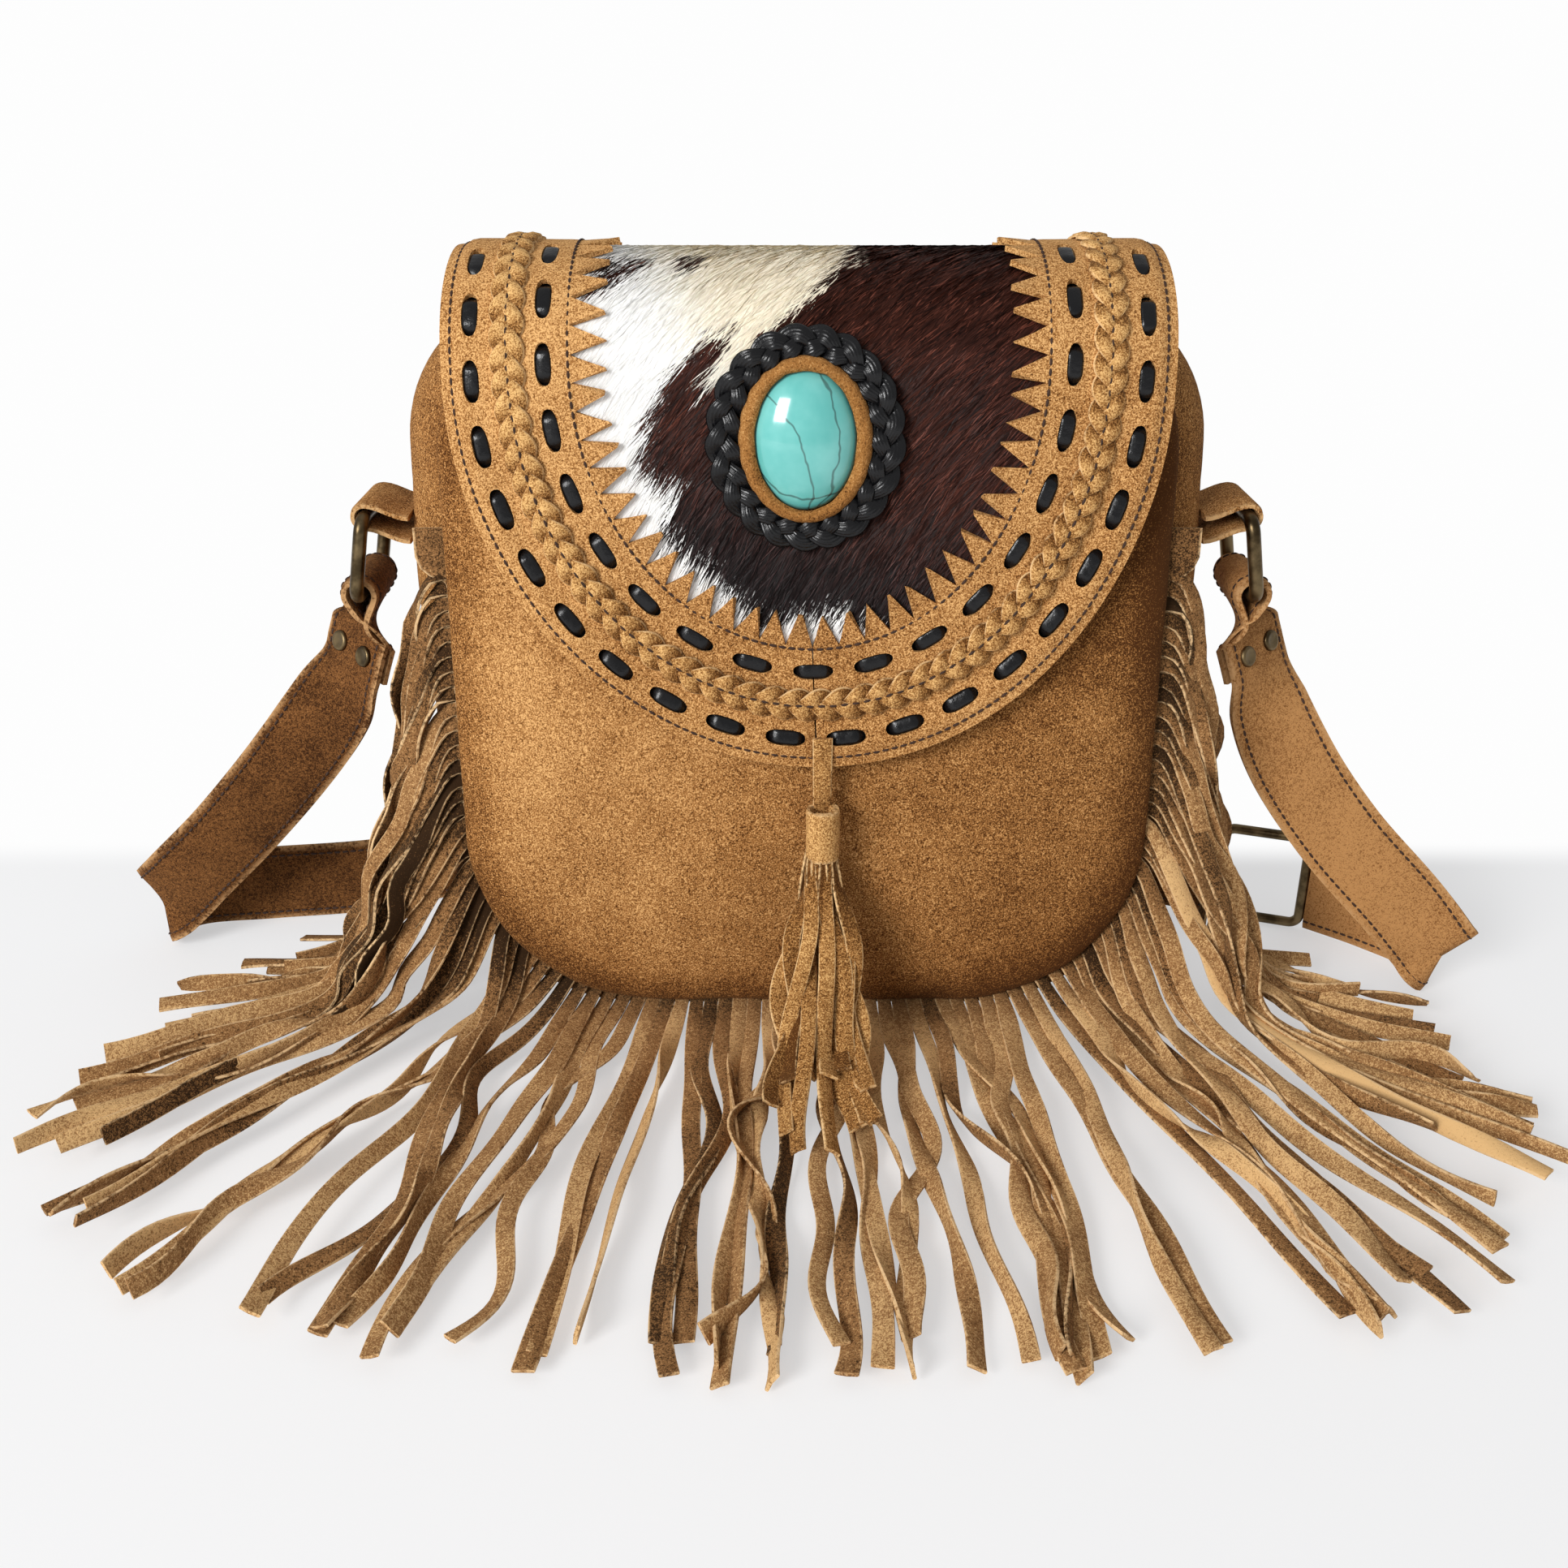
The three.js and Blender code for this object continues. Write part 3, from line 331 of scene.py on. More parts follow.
def suede(name, dark, middle, light, pale, contrast=6.4, bump=0.45):
    dark, middle, light, pale = (srgb(*colour) for colour in (dark, middle, light, pale))
    finish = Finish(name)
    fibre = finish.noise(FIBRE_SCALE, 3, 0.75)
    tuft, brush, patch = finish.noise(TUFT_SCALE), finish.noise(BRUSH_SCALE, 3), finish.noise(PATCH_SCALE, 3)
    # The stored shade is added to the noise; on several pieces it holds painted light and shade.
    tone = ((fibre - 0.5) * contrast + (tuft - 0.5) * TUFT_SHARE + (brush - 0.5) * BRUSH_SHARE
            + (patch - 0.5) * PATCH_SHARE + finish.attribute("shade"))
    colour = finish.blend(finish.between(tone, 0.0, FULL_TONE), middle, light)
    colour = finish.blend(finish.between(tone, 0.0, -FULL_TONE), colour, dark)
    colour = finish.blend(finish.attribute("edge") * finish.between(tuft + brush, 0.75, 1.15), colour, pale)
    return finish.set(Base_Color=colour, Roughness=0.95, Normal=finish.bump(fibre + tuft, bump, NAP_DEPTH),
                      Sheen_Weight=0.12, Sheen_Roughness=0.5, Sheen_Tint=pale, Specular_IOR_Level=0.1)


PALE_EDGE = (205, 164, 114)
suede_tan = suede("suede_tan", (74, 41, 15), (164, 112, 60), (230, 180, 118), PALE_EDGE)
suede_gold = suede("suede_gold", (84, 50, 20), (166, 117, 64), (230, 184, 120), (236, 198, 144))
suede_brown = suede("suede_brown", (50, 33, 18), (148, 106, 65), (220, 179, 124), (226, 190, 142), 3.8)
suede_strap = suede("suede_strap", (58, 33, 15), (128, 84, 45), (186, 136, 84), (196, 152, 104), 3.8)
suede_bezel = suede("suede_bezel", (72, 40, 16), (164, 112, 58), (218, 166, 104), (138, 96, 58), 3.4, 0.8)
cut_edge = suede("cut_edge", (120, 88, 56), (182, 146, 104), (214, 184, 144), PALE_EDGE, 3.4, 0.2)
print("suedes:", suede_tan.name, suede_gold.name, suede_brown.name, suede_strap.name, suede_bezel.name)

# %% [markdown]
# The other finishes are black leather with fine grooves, dark thread, brass that has gone brown, a polished
# blue stone with thin dark veins, and hair. One finish with many switches could do for all, but they share
# only the noise, so each has a short recipe. The veins are arcs of circles that noise bends, because plain
# noise would spread veins all over, and the real stone has only a few.

# %% Leather, thread, brass, stone and hide
GROOVES, GROOVE_DRIFT, GROOVE_SHARE = 34.0, 6.0, 0.16
VEINS = ((-30, 182.5, 33), (-21, 195.5, 31.7), (2, 198.5, 17.8))
VEIN_FADE, VEIN_DRIFT = (0.00042, 0.00012), 0.0045


def black_leather():
    finish = Finish("black_leather")
    crease, soft = finish.noise(420, 4, 0.65), finish.noise(60)
    groove = finish.math("SINE", finish.attribute("across") * GROOVES + soft * GROOVE_DRIFT)
    normal = finish.bump(crease + soft * 0.6 + groove * GROOVE_SHARE, 0.3, 0.0008)
    rough = finish.between(crease, 0.3, 0.7) * 0.2 + 0.16
    return finish.set(Base_Color=srgb(14, 14, 16), Roughness=rough, Normal=normal, Specular_IOR_Level=0.35)


def thread():
    finish = Finish("thread")
    twist = finish.noise(900, 1)
    return finish.set(Base_Color=finish.blend(twist, srgb(34, 20, 12), srgb(70, 42, 24)), Roughness=0.8)


def aged_brass():
    finish = Finish("aged_brass")
    stain = finish.noise(140, 4)
    colour = finish.blend(finish.between(stain, 0.35, 0.65), srgb(70, 58, 40), srgb(126, 108, 78))
    return finish.set(Base_Color=colour, Metallic=1.0, Roughness=finish.between(stain, 0.3, 0.7) * 0.2 + 0.28)


def turquoise():
    finish = Finish("turquoise")
    wobble = finish.noise(90, 3)
    drift = finish.noise(120.0, 2.0, 0.5, 1)
    place = finish.vector("MULTIPLY_ADD", drift, (VEIN_DRIFT, VEIN_DRIFT, VEIN_DRIFT), finish.place())
    vein = 0.0
    for x, z, radius in VEINS:
        off = finish.vector("MULTIPLY", finish.vector("SUBTRACT", place, (x * MM, 0, z * MM)), (1, 0, 1))
        gap = finish.math("ABSOLUTE", finish.vector("LENGTH", off, output="Value") - radius * MM)
        vein = finish.between(gap, *VEIN_FADE) + vein
    body = finish.blend(finish.between(wobble, 0.3, 0.7), srgb(96, 182, 176), srgb(118, 196, 190))
    colour = finish.blend(vein * 0.7, body, srgb(46, 74, 70))
    return finish.set(Base_Color=colour, Roughness=0.16, Coat_Weight=0.6, Coat_Roughness=0.05)


def hide():
    finish = Finish("hide")
    return finish.set(Base_Color=finish.attribute("tint", "Color"), Roughness=0.45, Specular_IOR_Level=0.1)


leather_black, sewing_thread, brass = black_leather(), thread(), aged_brass()
stone_finish, hide_finish = turquoise(), hide()
print(len(bpy.data.materials), "materials")

# %% [markdown]
# On the real bag some pieces move by themselves: the flap, the tassel and the rings. Each finished piece is
# tied to the body that it moves with, if it has one, and hides the CAD nodes that it stands for. That could
# be written out for each piece, but one function does it in the same way for all and prints it.

# %% Hand a piece over
def give(obj, body, slot, nodes, *finishes):
    for finish in finishes:
        obj.data.materials.append(finish)
    if body:
        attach(obj, body)
    if nodes:
        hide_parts(*nodes)
    low, high = np.array(obj.bound_box).min(axis=0), np.array(obj.bound_box).max(axis=0)
    print(obj.name, len(obj.data.polygons), "faces, size", np.round((high - low) / MM).tolist(), "mm")
    return obj


# %% [markdown]
# The body is two domed panels with a gusset strip between them. Its outline has wide round corners at the
# bottom and tighter ones at the top, and it is deeper at the base than at the mouth. The outline could be a
# curve object. A function of the length along the seam is handier, because panels, gusset and fringe all
# need the seam's place and the way that points out of it.

# %% The seam that the body is built on
SUEDE, CLEARANCE = 1.6, 0.3
PANEL_WIDTH, PANEL_HEIGHT, SEAM_BOTTOM = 218, 221, 5
LOW_CORNER, HIGH_CORNER = 60, 41
BASE_DEPTH, TOP_DEPTH, DEPTH_CURVE = 76, 46, 1.3
HALF_WIDTH = PANEL_WIDTH / 2
CENTRE_HEIGHT = SEAM_BOTTOM + PANEL_HEIGHT / 2
FLAT_BASE, FLAT_TOP = HALF_WIDTH - LOW_CORNER, HALF_WIDTH - HIGH_CORNER
LOW_ARC, HIGH_ARC = LOW_CORNER * np.pi / 2, HIGH_CORNER * np.pi / 2
STRAIGHT_SIDE = PANEL_HEIGHT - LOW_CORNER - HIGH_CORNER
SEAM_HALF = FLAT_BASE + LOW_ARC + STRAIGHT_SIDE + HIGH_ARC + FLAT_TOP
CORE = Vector(np.array([0, 0, CENTRE_HEIGHT]) * MM)


def half_depth(z):
    rise = np.clip((z - SEAM_BOTTOM) / PANEL_HEIGHT, 0, 1)
    return mix(BASE_DEPTH, TOP_DEPTH, rise**DEPTH_CURVE) / 2


def seam_at(along, out=0.0):
    """Place (x, z) and outward direction of the seam, measured from the bottom centre."""
    along = np.asarray(along, float)
    side, run = np.where(along < 0, -1.0, 1.0), abs(along)
    low = np.clip((run - FLAT_BASE) / LOW_CORNER, 0, np.pi / 2)
    after = run - FLAT_BASE - LOW_ARC
    high = np.clip((after - STRAIGHT_SIDE) / HIGH_CORNER, 0, np.pi / 2)
    x = np.minimum(run, FLAT_BASE) + LOW_CORNER * np.sin(low) - HIGH_CORNER * (1 - np.cos(high))
    x = x - np.maximum(after - STRAIGHT_SIDE - HIGH_ARC, 0)
    z = (SEAM_BOTTOM + LOW_CORNER * (1 - np.cos(low)) + np.clip(after, 0, STRAIGHT_SIDE)
         + HIGH_CORNER * np.sin(high))
    nx, nz = side * np.sin(low + high), -np.cos(low + high)
    return side * x + out * nx, z + out * nz, nx, nz


print("seam length", round(2 * SEAM_HALF), "mm")

# %% [markdown]
# The panels, the gusset and the flap are sheets of leather with a real thickness. A sheet could be extruded
# by hand. Here a grid is laid on a formula and a Solidify modifier gives it its wall, because that keeps
# the wall even on a domed face and gives the cut rim a finish of its own.

# %% Sheets of leather
def thicken(obj, thickness):
    """Gives a sheet its wall on the inner side, with the rim as a second finish."""
    tidy(obj)
    if sum(f.normal.dot(f.center - CORE) * f.area for f in obj.data.polygons) < 0:
        open_up(obj)
        bpy.ops.mesh.flip_normals()
        bpy.ops.object.mode_set(mode="OBJECT")
    wall = obj.modifiers.new("wall", "SOLIDIFY")
    wall.thickness, wall.offset, wall.material_offset_rim = thickness * MM, -1, 1
    bpy.ops.object.modifier_apply(modifier=wall.name)
    bpy.ops.object.shade_smooth_by_angle(angle=SHARP_ANGLE)
    return obj


def sheet(name, columns, rows, place, thickness):
    """A grid that is laid on a surface and thickened."""
    obj = primitive(name, bpy.ops.mesh.primitive_grid_add, x_subdivisions=columns, y_subdivisions=rows,
                    size=1)
    flat = points_of(obj)
    laid = place(flat[:, 0] + 0.5, flat[:, 1] + 0.5)
    obj.data.vertices.foreach_set("co", (laid * MM).ravel())
    return thicken(obj, thickness)


def shade(obj, rule):
    """Stores how much lighter or darker the suede is made at each point; on the panels and the gusset that is
    painted light and shade.
    """
    x, y, z = points_of(obj).T / MM
    store(obj.data, "shade", rule(x, y, z))
    return obj


# %% [markdown]
# Front and back are cut flat and pulled to a dome by what is in the bag. A cloth simulation could swell
# them, but the dome has to keep its gap to the flap, so it is a formula: rings from the seam to the middle
# that rise like a cushion, with slack low down and small puckers along the seam. Painted shade darkens the
# rim, the right side, the bottom and the top under the flap, and painted light brightens the left side.

# %% Front and back panel
FRONT_BULGE, BACK_BULGE = 13, 8
PANEL_COLUMNS, PANEL_ROWS = 200, 44
PUCKER, PUCKER_PITCH, PUCKER_REACH, SLACK = 0.35, 5.2, 0.03, 0.8


def panel(facing, bulge):
    def place(u, v):
        along = (2 * u - 1) * SEAM_HALF
        x, z, _, _ = seam_at(along)
        m = np.sin(v * np.pi / 2)
        x, z = x * m, mix(CENTRE_HEIGHT, z, m)
        pucker = PUCKER * np.sin(along / PUCKER_PITCH) * np.exp(-(((1 - m) / PUCKER_REACH) ** 2))
        slack = 0.9 * np.sin(x / 23 + z / 31) + 0.6 * np.sin(x / 14 - z / 19)
        slack = slack * (1 - m**4) * ease(150, 90, z)
        full = half_depth(z) + bulge * np.sqrt(np.maximum(0, 1 - m**3)) + slack * SLACK - pucker * m
        return spots(x, facing * full, z)
    return place


# Painted light and shade on the panels: lighter to the left, darker to the right, low down, at the rim and
# high up under the flap.
def painted_panel_light_and_shade(x, y, z):
    rim = (abs(x / HALF_WIDTH) ** 4 + abs((z - CENTRE_HEIGHT) / (PANEL_HEIGHT / 2)) ** 4) ** 0.25
    return (0.25 * ease(0, -70, x) - 0.4 * ease(-10, 95, x) - 0.25 * ease(75, 20, z)
            - 0.6 * ease(0.84, 1.0, rim) - 0.3 * ease(95, 150, z))


for name, facing, bulge in (("front", -1, FRONT_BULGE), ("back", 1, BACK_BULGE)):
    domed = sheet(name, PANEL_COLUMNS, PANEL_ROWS, panel(facing, bulge), SUEDE)
    give(shade(domed, painted_panel_light_and_shade), "bag", "suede_tan", [f"{name}_panel"], suede_tan, cut_edge)

# %% [markdown]
# The gusset is one strip that makes the sides and the bottom. It could be bridged between the two panels,
# but then it would have no bulge. Laid along the seam, it is flat where the bag stands, swells and creases
# at the sides, stops short of the mouth and leaves room for the fringe that is caught in the front seam.

# %% Gusset
SIDE_BULGE, SHOULDER_BULGE, BASE_SHARPNESS, MOUTH_LENGTH = 14, 3, 14, 124
GUSSET_COLUMNS, GUSSET_ROWS, GUSSET_CREASE = 220, 28, 1.1
GUSSET_HALF = SEAM_HALF - MOUTH_LENGTH / 2
FRINGE_STRIP, FRINGE_SPAN, FRINGE_PITCH = 1.2, 484, 4.8
FRINGE_DEPTH = SUEDE + CLEARANCE
FRINGE_HALF = FRINGE_SPAN / 2


def gusset_place(u, v):
    along = (2 * u - 1) * GUSSET_HALF
    _, z, nx, nz = seam_at(along)
    across = np.sin((v - 0.5) * np.pi)
    below = nz < 0
    reach = mix(np.where(below, 2 * SEAM_BOTTOM, SHOULDER_BULGE), SIDE_BULGE, nx**2)
    sharp = np.where(below, mix(BASE_SHARPNESS, 2, nx**2), 2)
    crease = GUSSET_CREASE * np.sin(z / 17 + 2 * across) * nx**2 * (1 - across**2)
    x, z_out, _, _ = seam_at(along, reach * (1 - abs(across) ** sharp) + crease)
    fringe_there = np.clip((FRINGE_HALF + 3 * FRINGE_PITCH - abs(along)) / FRINGE_PITCH, 0, 1)
    near = -half_depth(z) + FRINGE_DEPTH + (FRINGE_STRIP + CLEARANCE) * fringe_there
    far = half_depth(z) - FRINGE_DEPTH
    return spots(x, mix(near, far, (across + 1) / 2), np.maximum(z_out, 0))


# Painted shade: the gusset is made darker, and darker still towards both panel seams.
def painted_gusset_shade(x, y, z):
    return -0.25 - 0.3 * ease(12, 30, abs(y))


gusset = sheet("gusset_strip", GUSSET_COLUMNS, GUSSET_ROWS, gusset_place, SUEDE)
give(shade(gusset, painted_gusset_shade), "bag", "suede_tan", ["gusset"], suede_tan, cut_edge)

# %% [markdown]
# The fringe is one strip of suede in the front seam. It is left whole for a few millimetres and then cut
# into about a hundred strands. They droop, reach the ground and lie on it in waves, some of them twisted.
# Hair particles could give such a fan, but not flat strands with cut edges. So each strand is a ribbon
# along a line that is followed step by step: stiff at the seam, then falling, then lying down.

# %% Fringe roots and falling lines
STRAND_WIDTH, STRAND, STRAND_LENGTH = 5.5, 1.1, 174
FAN_LEFT, FAN_RIGHT, FAN_CURVE = math.radians(82), math.radians(76), 1.75
STRAND_STEPS, FRINGE_INSIDE = 52, 4
CLUMP, FRINGE_UNCUT, SKIPPED = 3, 9, 2
LOWEST, CLUMP_RISE, RANK_RISE = 0.7, 1.0, 0.17
UPRIGHT = np.array([0, 0, 1.0])
strand_count = int(FRINGE_SPAN / FRINGE_PITCH)
clump_turn = rng.normal(0, 0.12, strand_count // CLUMP + 1)
clump_draw = rng.uniform(0.0, 0.85, strand_count // CLUMP + 1)


def fringe_root(along):
    """Start of a strand: its place in the seam, the way it leaves the seam, its fan and how high it is."""
    x, z, nx, nz = seam_at(along)
    out = spots(nx, 0, nz)
    widest = np.where(along < 0, FAN_LEFT, FAN_RIGHT)
    fan = widest * np.sin(np.pi / 2 * abs(along / FRINGE_HALF) ** FAN_CURVE)
    aim = spots(np.sign(along) * np.sin(fan), -np.cos(fan), 0)
    low = ease(30, 0, z - SEAM_BOTTOM)[..., None]
    droop = out + np.array([0, 0, -0.2]) + 0.15 * aim
    seam_front = -half_depth(z) + FRINGE_DEPTH + FRINGE_STRIP / 2
    return spots(x, seam_front, z), unit(mix(droop, aim + 0.22 * out, low)), fan, 1 - low[..., 0]


def fall(root, leave, aim, droop, ground, step, whole, bend):
    """The line of a strand that leaves the seam, droops and lies down, and how much it lies at each point."""
    spot, heading = root - leave * FRINGE_INSIDE, leave
    line, lying = [spot], [0.0]
    for k in range(1, STRAND_STEPS):
        lie = ease(20, 2, spot[2] - ground)
        goal = leave if k * step < whole + FRINGE_INSIDE else unit(mix(droop, aim, lie))
        heading = unit(heading + (goal - heading) * min(1, step / bend))
        spot = spot + heading * step
        spot[2] = max(spot[2], ground)
        line.append(spot)
        lying.append(lie)
    return np.array(line), np.array(lying)


print(strand_count - 2 * SKIPPED, "strands of about", STRAND_LENGTH, "mm")

# %% [markdown]
# No two strands of the real fringe lie alike. They could be copies of a few, but the eye finds copies at
# once. So each one gets its own waves, twist, width and tone from random draws, with a fixed seed, and
# neighbours are drawn together in threes as real strands cling.

# %% Fringe strands
def ripple(run, shortest, longest):
    """A wave along a strand, with its own length and start."""
    return np.sin(run / rng.uniform(shortest, longest) + rng.uniform(0, 6))


def strand(index):
    along = (index + 0.5 - strand_count / 2) * FRINGE_PITCH
    root, leave, fan, high = fringe_root(np.array(along))
    side, clump, drop = (1 if along > 0 else -1), index // CLUMP, root[2] - SEAM_BOTTOM
    upper = ease(30, 140, drop) * high
    fan = fan + clump_turn[clump] + rng.normal(0, 0.045 + 0.05 * high)
    aim = np.array([side * math.sin(fan), -math.cos(fan), 0])
    flat = np.array([-aim[1], aim[0], 0])
    rank = max(0.0, abs(along) - FLAT_BASE) / FRINGE_PITCH
    ground = LOWEST + CLUMP_RISE * (index % CLUMP) + RANK_RISE * rank
    slope = mix(0.8, 0.2, ease(45, 140, drop)) + rng.normal(0, 0.05)
    step = STRAND_LENGTH * rng.uniform(0.93, 1.03) / STRAND_STEPS
    line, lying = fall(root, leave, aim, unit(aim * slope + [0, 0.1 * upper, -1]), ground, step,
                       mix(4.0, 2.0 + 3 * upper, high), mix(8, 5 + 4 * upper, high))
    run = np.arange(STRAND_STEPS) * step
    free, up = ease(14, 70, run), 1 - lying
    wild = 0.6 + rng.exponential(0.55)
    wave = (rng.normal(0, 1.1) * ripple(run, 7, 11) + rng.normal(0, 2.6) * ripple(run, 15, 26)) * wild
    draw = -(index % CLUMP - 1) * FRINGE_PITCH * clump_draw[clump] * ease(25, 100, run)
    line += flat * (wave * free + draw)[:, None]
    sway = rng.normal(0, 3) + 4 * upper + rng.normal(0, 2.2) * ripple(run, 7, 14)
    line[:, 1] += sway * high * free * up
    lean = side * abs(rng.normal(0, 2.2)) * np.sin(run / rng.uniform(8, 16)) ** 2
    line[:, 0] += lean * high * up * ease(18, 50, run)
    line[:, 2] += free * lying * wild * (0.7 + 0.7 * ripple(run, 9, 16))
    twist = (rng.normal(0, 0.45) + rng.normal(0, 0.8) * ripple(run, 12, 24)) * free * wild
    twist = twist + side * 0.55 * ease(40, 110, drop + 0.3 * abs(along)) * lying
    line[:, 2] = np.maximum(line[:, 2], 0.75 + abs(np.sin(twist)) * lying * STRAND_WIDTH / 2)
    face, tilt = rng.normal(0.25 * side, 0.5), rng.normal(0.95, 0.2) * high * ease(3, 11, run)
    rib, loose = spots(0, -np.cos(tilt), np.sin(tilt)), np.array([math.sin(face), -math.cos(face), 0])
    facing = mix(UPRIGHT, mix(rib, loose, ease(16, 50, run)[:, None]), high)
    ahead = unit(headings(line))
    across = unit(np.cross(mix(facing, UPRIGHT, lying[:, None]), ahead))
    across = across * np.cos(twist)[:, None] + np.cross(ahead, across) * np.sin(twist)[:, None]
    width = STRAND_WIDTH * (1 + 0.05 * np.sin(run / 15 + index))
    width = width * mix(0.84, rng.uniform(0.9, 1.1), ease(6, 24, run))
    # Each strand has a random tone; painted shade darkens its root at the seam and the hanging strands, more
    # on the left, and painted light brightens the strands that lie on the floor.
    tone = (rng.normal(0.02, 0.28) - 0.5 * ease(26, 8, run) + (0.3 - 0.2 * high) * lying
            - (0.3 - 0.12 * side) * high * up)
    strip = ribbon(line, across, width, STRAND, cup=0.3 * rng.normal(0, 1) * free)
    return strip, np.repeat(tone, len(FLAT_SECTION))


header_run = np.linspace(-FRINGE_HALF, FRINGE_HALF, 242)
header_root, header_leave, _, header_high = fringe_root(header_run)
header_end = ease(FRINGE_HALF - 18, FRINGE_HALF - 8, abs(header_run))
header_wide = FRINGE_INSIDE + mix(1.2, 0.6, header_high) + FRINGE_UNCUT * header_end
header_line = header_root + header_leave * (header_wide / 2 - FRINGE_INSIDE)[:, None]
header = ribbon(header_line, header_leave, header_wide, FRINGE_STRIP)
strands, strand_shades = zip(*(strand(index) for index in range(SKIPPED, strand_count - SKIPPED)))
# Painted shade darkens the uncut header in the seam.
fringe = ribbon_piece("fringe_strands", [header, *strands], [-0.5, *strand_shades])
give(fringe, "bag", "suede_dark", ["fringe"], suede_brown)

# %% [markdown]
# The flap is sewn to the back, rolls over the mouth and hangs down the front as a long tongue. It could be
# bent with a modifier, but then the things on it would have to be bent with it. So everything on the flap
# is placed by three numbers: across, down from the shoulder line, and lift off the surface.

# %% The surface of the flap
FLAP_HALF, FLAP_DROP, FLAP_SHOULDER, FLAP_SEAT = 103, 115.5, 212, 0.8
ROLL_RISE, TIP_SHIFT, LINING, EDGE_CURL = 26, 3, 1.4, 3.0
BACK_SEAT = TOP_DEPTH / 2 + BACK_BULGE + FLAP_SEAT + SUEDE
ROLL_SPAN = (half_depth(FLAP_SHOULDER) + FRONT_BULGE + FLAP_SEAT + BACK_SEAT) / 2
ROLL_LENGTH = np.pi * math.sqrt((ROLL_SPAN**2 + ROLL_RISE**2) / 2)


def flap_base(x, down):
    full = FRONT_BULGE * (1 - 0.5 * abs(x / HALF_WIDTH) ** 3) + FLAP_SEAT
    z = FLAP_SHOULDER - np.maximum(down, 0)
    span = (half_depth(FLAP_SHOULDER) + full + BACK_SEAT) / 2
    turn = np.pi * np.maximum(-down, 0) / ROLL_LENGTH
    y = np.where(down >= 0, -half_depth(z) - full, BACK_SEAT - span - span * np.cos(turn))
    return spots(x, y, z + ROLL_RISE * np.sin(turn))


def flap_normal(x, down):
    across = flap_base(x + 0.5, down) - flap_base(x - 0.5, down)
    along = flap_base(x, down + 0.5) - flap_base(x, down - 0.5)
    return unit(np.cross(along, across))


def drape(x, down, lift):
    x, down, lift = np.broadcast_arrays(*(np.asarray(q, float) for q in (x, down, lift)))
    rim = np.sqrt((x / FLAP_HALF) ** 2 + (np.maximum(down, 0) / FLAP_DROP) ** 2)
    lift = lift + EDGE_CURL * ease(0.86, 1.0, rim) * ease(-10, 35, down)
    spot = flap_base(x, down) + flap_normal(x, down) * lift[..., None]
    spot[..., 0] += TIP_SHIFT * np.clip(down / FLAP_DROP, 0, 1) ** 2
    return spot


print("roll", round(ROLL_LENGTH), "mm over the top")

# %% [markdown]
# Laces, braid and stitches keep an even distance to the flap's edge. They could be offset curves, but those
# tangle where the edge bends. A rail is the flap's outline at a chosen inset, and a run along it is
# measured from the tip, so that slots, teeth and stitches can be spaced as with dividers. The lining, the
# sheet under all the rest, is the whole outline.

# %% Rails along the edge, and the lining
ROOT_GAP, LINING_GAP = 1 / 14, 0.004
RAIL_SHARES = np.linspace(0, 2 - ROOT_GAP, 600)


def flat_at(share, inset):
    """Across and down of a line that keeps its inset: 0 is the tip, 1 the shoulder, more is over the roll."""
    turn = np.clip(1 - share, 0, 1) * np.pi / 2
    down = (FLAP_DROP - inset) * np.sin(turn) - np.maximum(share - 1, 0) * ROLL_LENGTH
    return (FLAP_HALF - inset) * np.cos(turn), down


def rail_lengths(inset):
    x, down = flat_at(RAIL_SHARES, inset)
    return np.concatenate([[0], np.cumsum(np.hypot(np.diff(x), np.diff(down)))])


def rail(inset_line, run, inset, lift):
    """A point by its run along a line of constant inset; plus is to the right of the tip."""
    share = np.interp(abs(run), rail_lengths(inset_line), RAIL_SHARES)
    x, down = flat_at(share, inset)
    return drape(np.sign(run) * x, down, lift)


def tongue(inset, short, lift):
    def place(u, v):
        x, down = flat_at(v * (2 - short), inset)
        return drape((2 * u - 1) * x, down, lift)
    return place


lining = sheet("lining", 48, 110, tongue(0, LINING_GAP, LINING), LINING)
give(lining, "flap", "suede_dark", ["flap_lining"], suede_strap, cut_edge)

# %% [markdown]
# A strip at the back joins the flap to the back panel. It could be part of the flap, but on the real bag it
# stays with the body when the flap opens. So it is a sheet of its own that follows the back's dome.

# %% Root strip at the back seam
ROOT_WIDTH, ROOT_HEIGHT = 198, 22


def root_place(u, v):
    x = (u - 0.5) * ROOT_WIDTH
    z = FLAP_SHOULDER - CLEARANCE - (1 - v) * ROOT_HEIGHT
    m = np.maximum(abs(x) / HALF_WIDTH, abs(z - CENTRE_HEIGHT) / (PANEL_HEIGHT / 2))
    under = half_depth(z) + BACK_BULGE * np.sqrt(np.maximum(0, 1 - m**6)) + CLEARANCE
    return spots(x, np.maximum(mix(under + SUEDE, BACK_SEAT + LINING, v), under + SUEDE), z)


give(sheet("root_strip", 60, 12, root_place, SUEDE), "bag", "suede_tan", ["flap_root"], suede_tan, cut_edge)

# %% [markdown]
# The border is two halves of suede that meet under the tip. Oval slots are punched for the laces and the
# inner edge is cut to saw teeth. Boolean cuts could do that, but they are slow and leave long thin faces.
# Here a flat pattern is drawn and filled with triangles first, so the cuts are as crisp as a punch makes
# them.

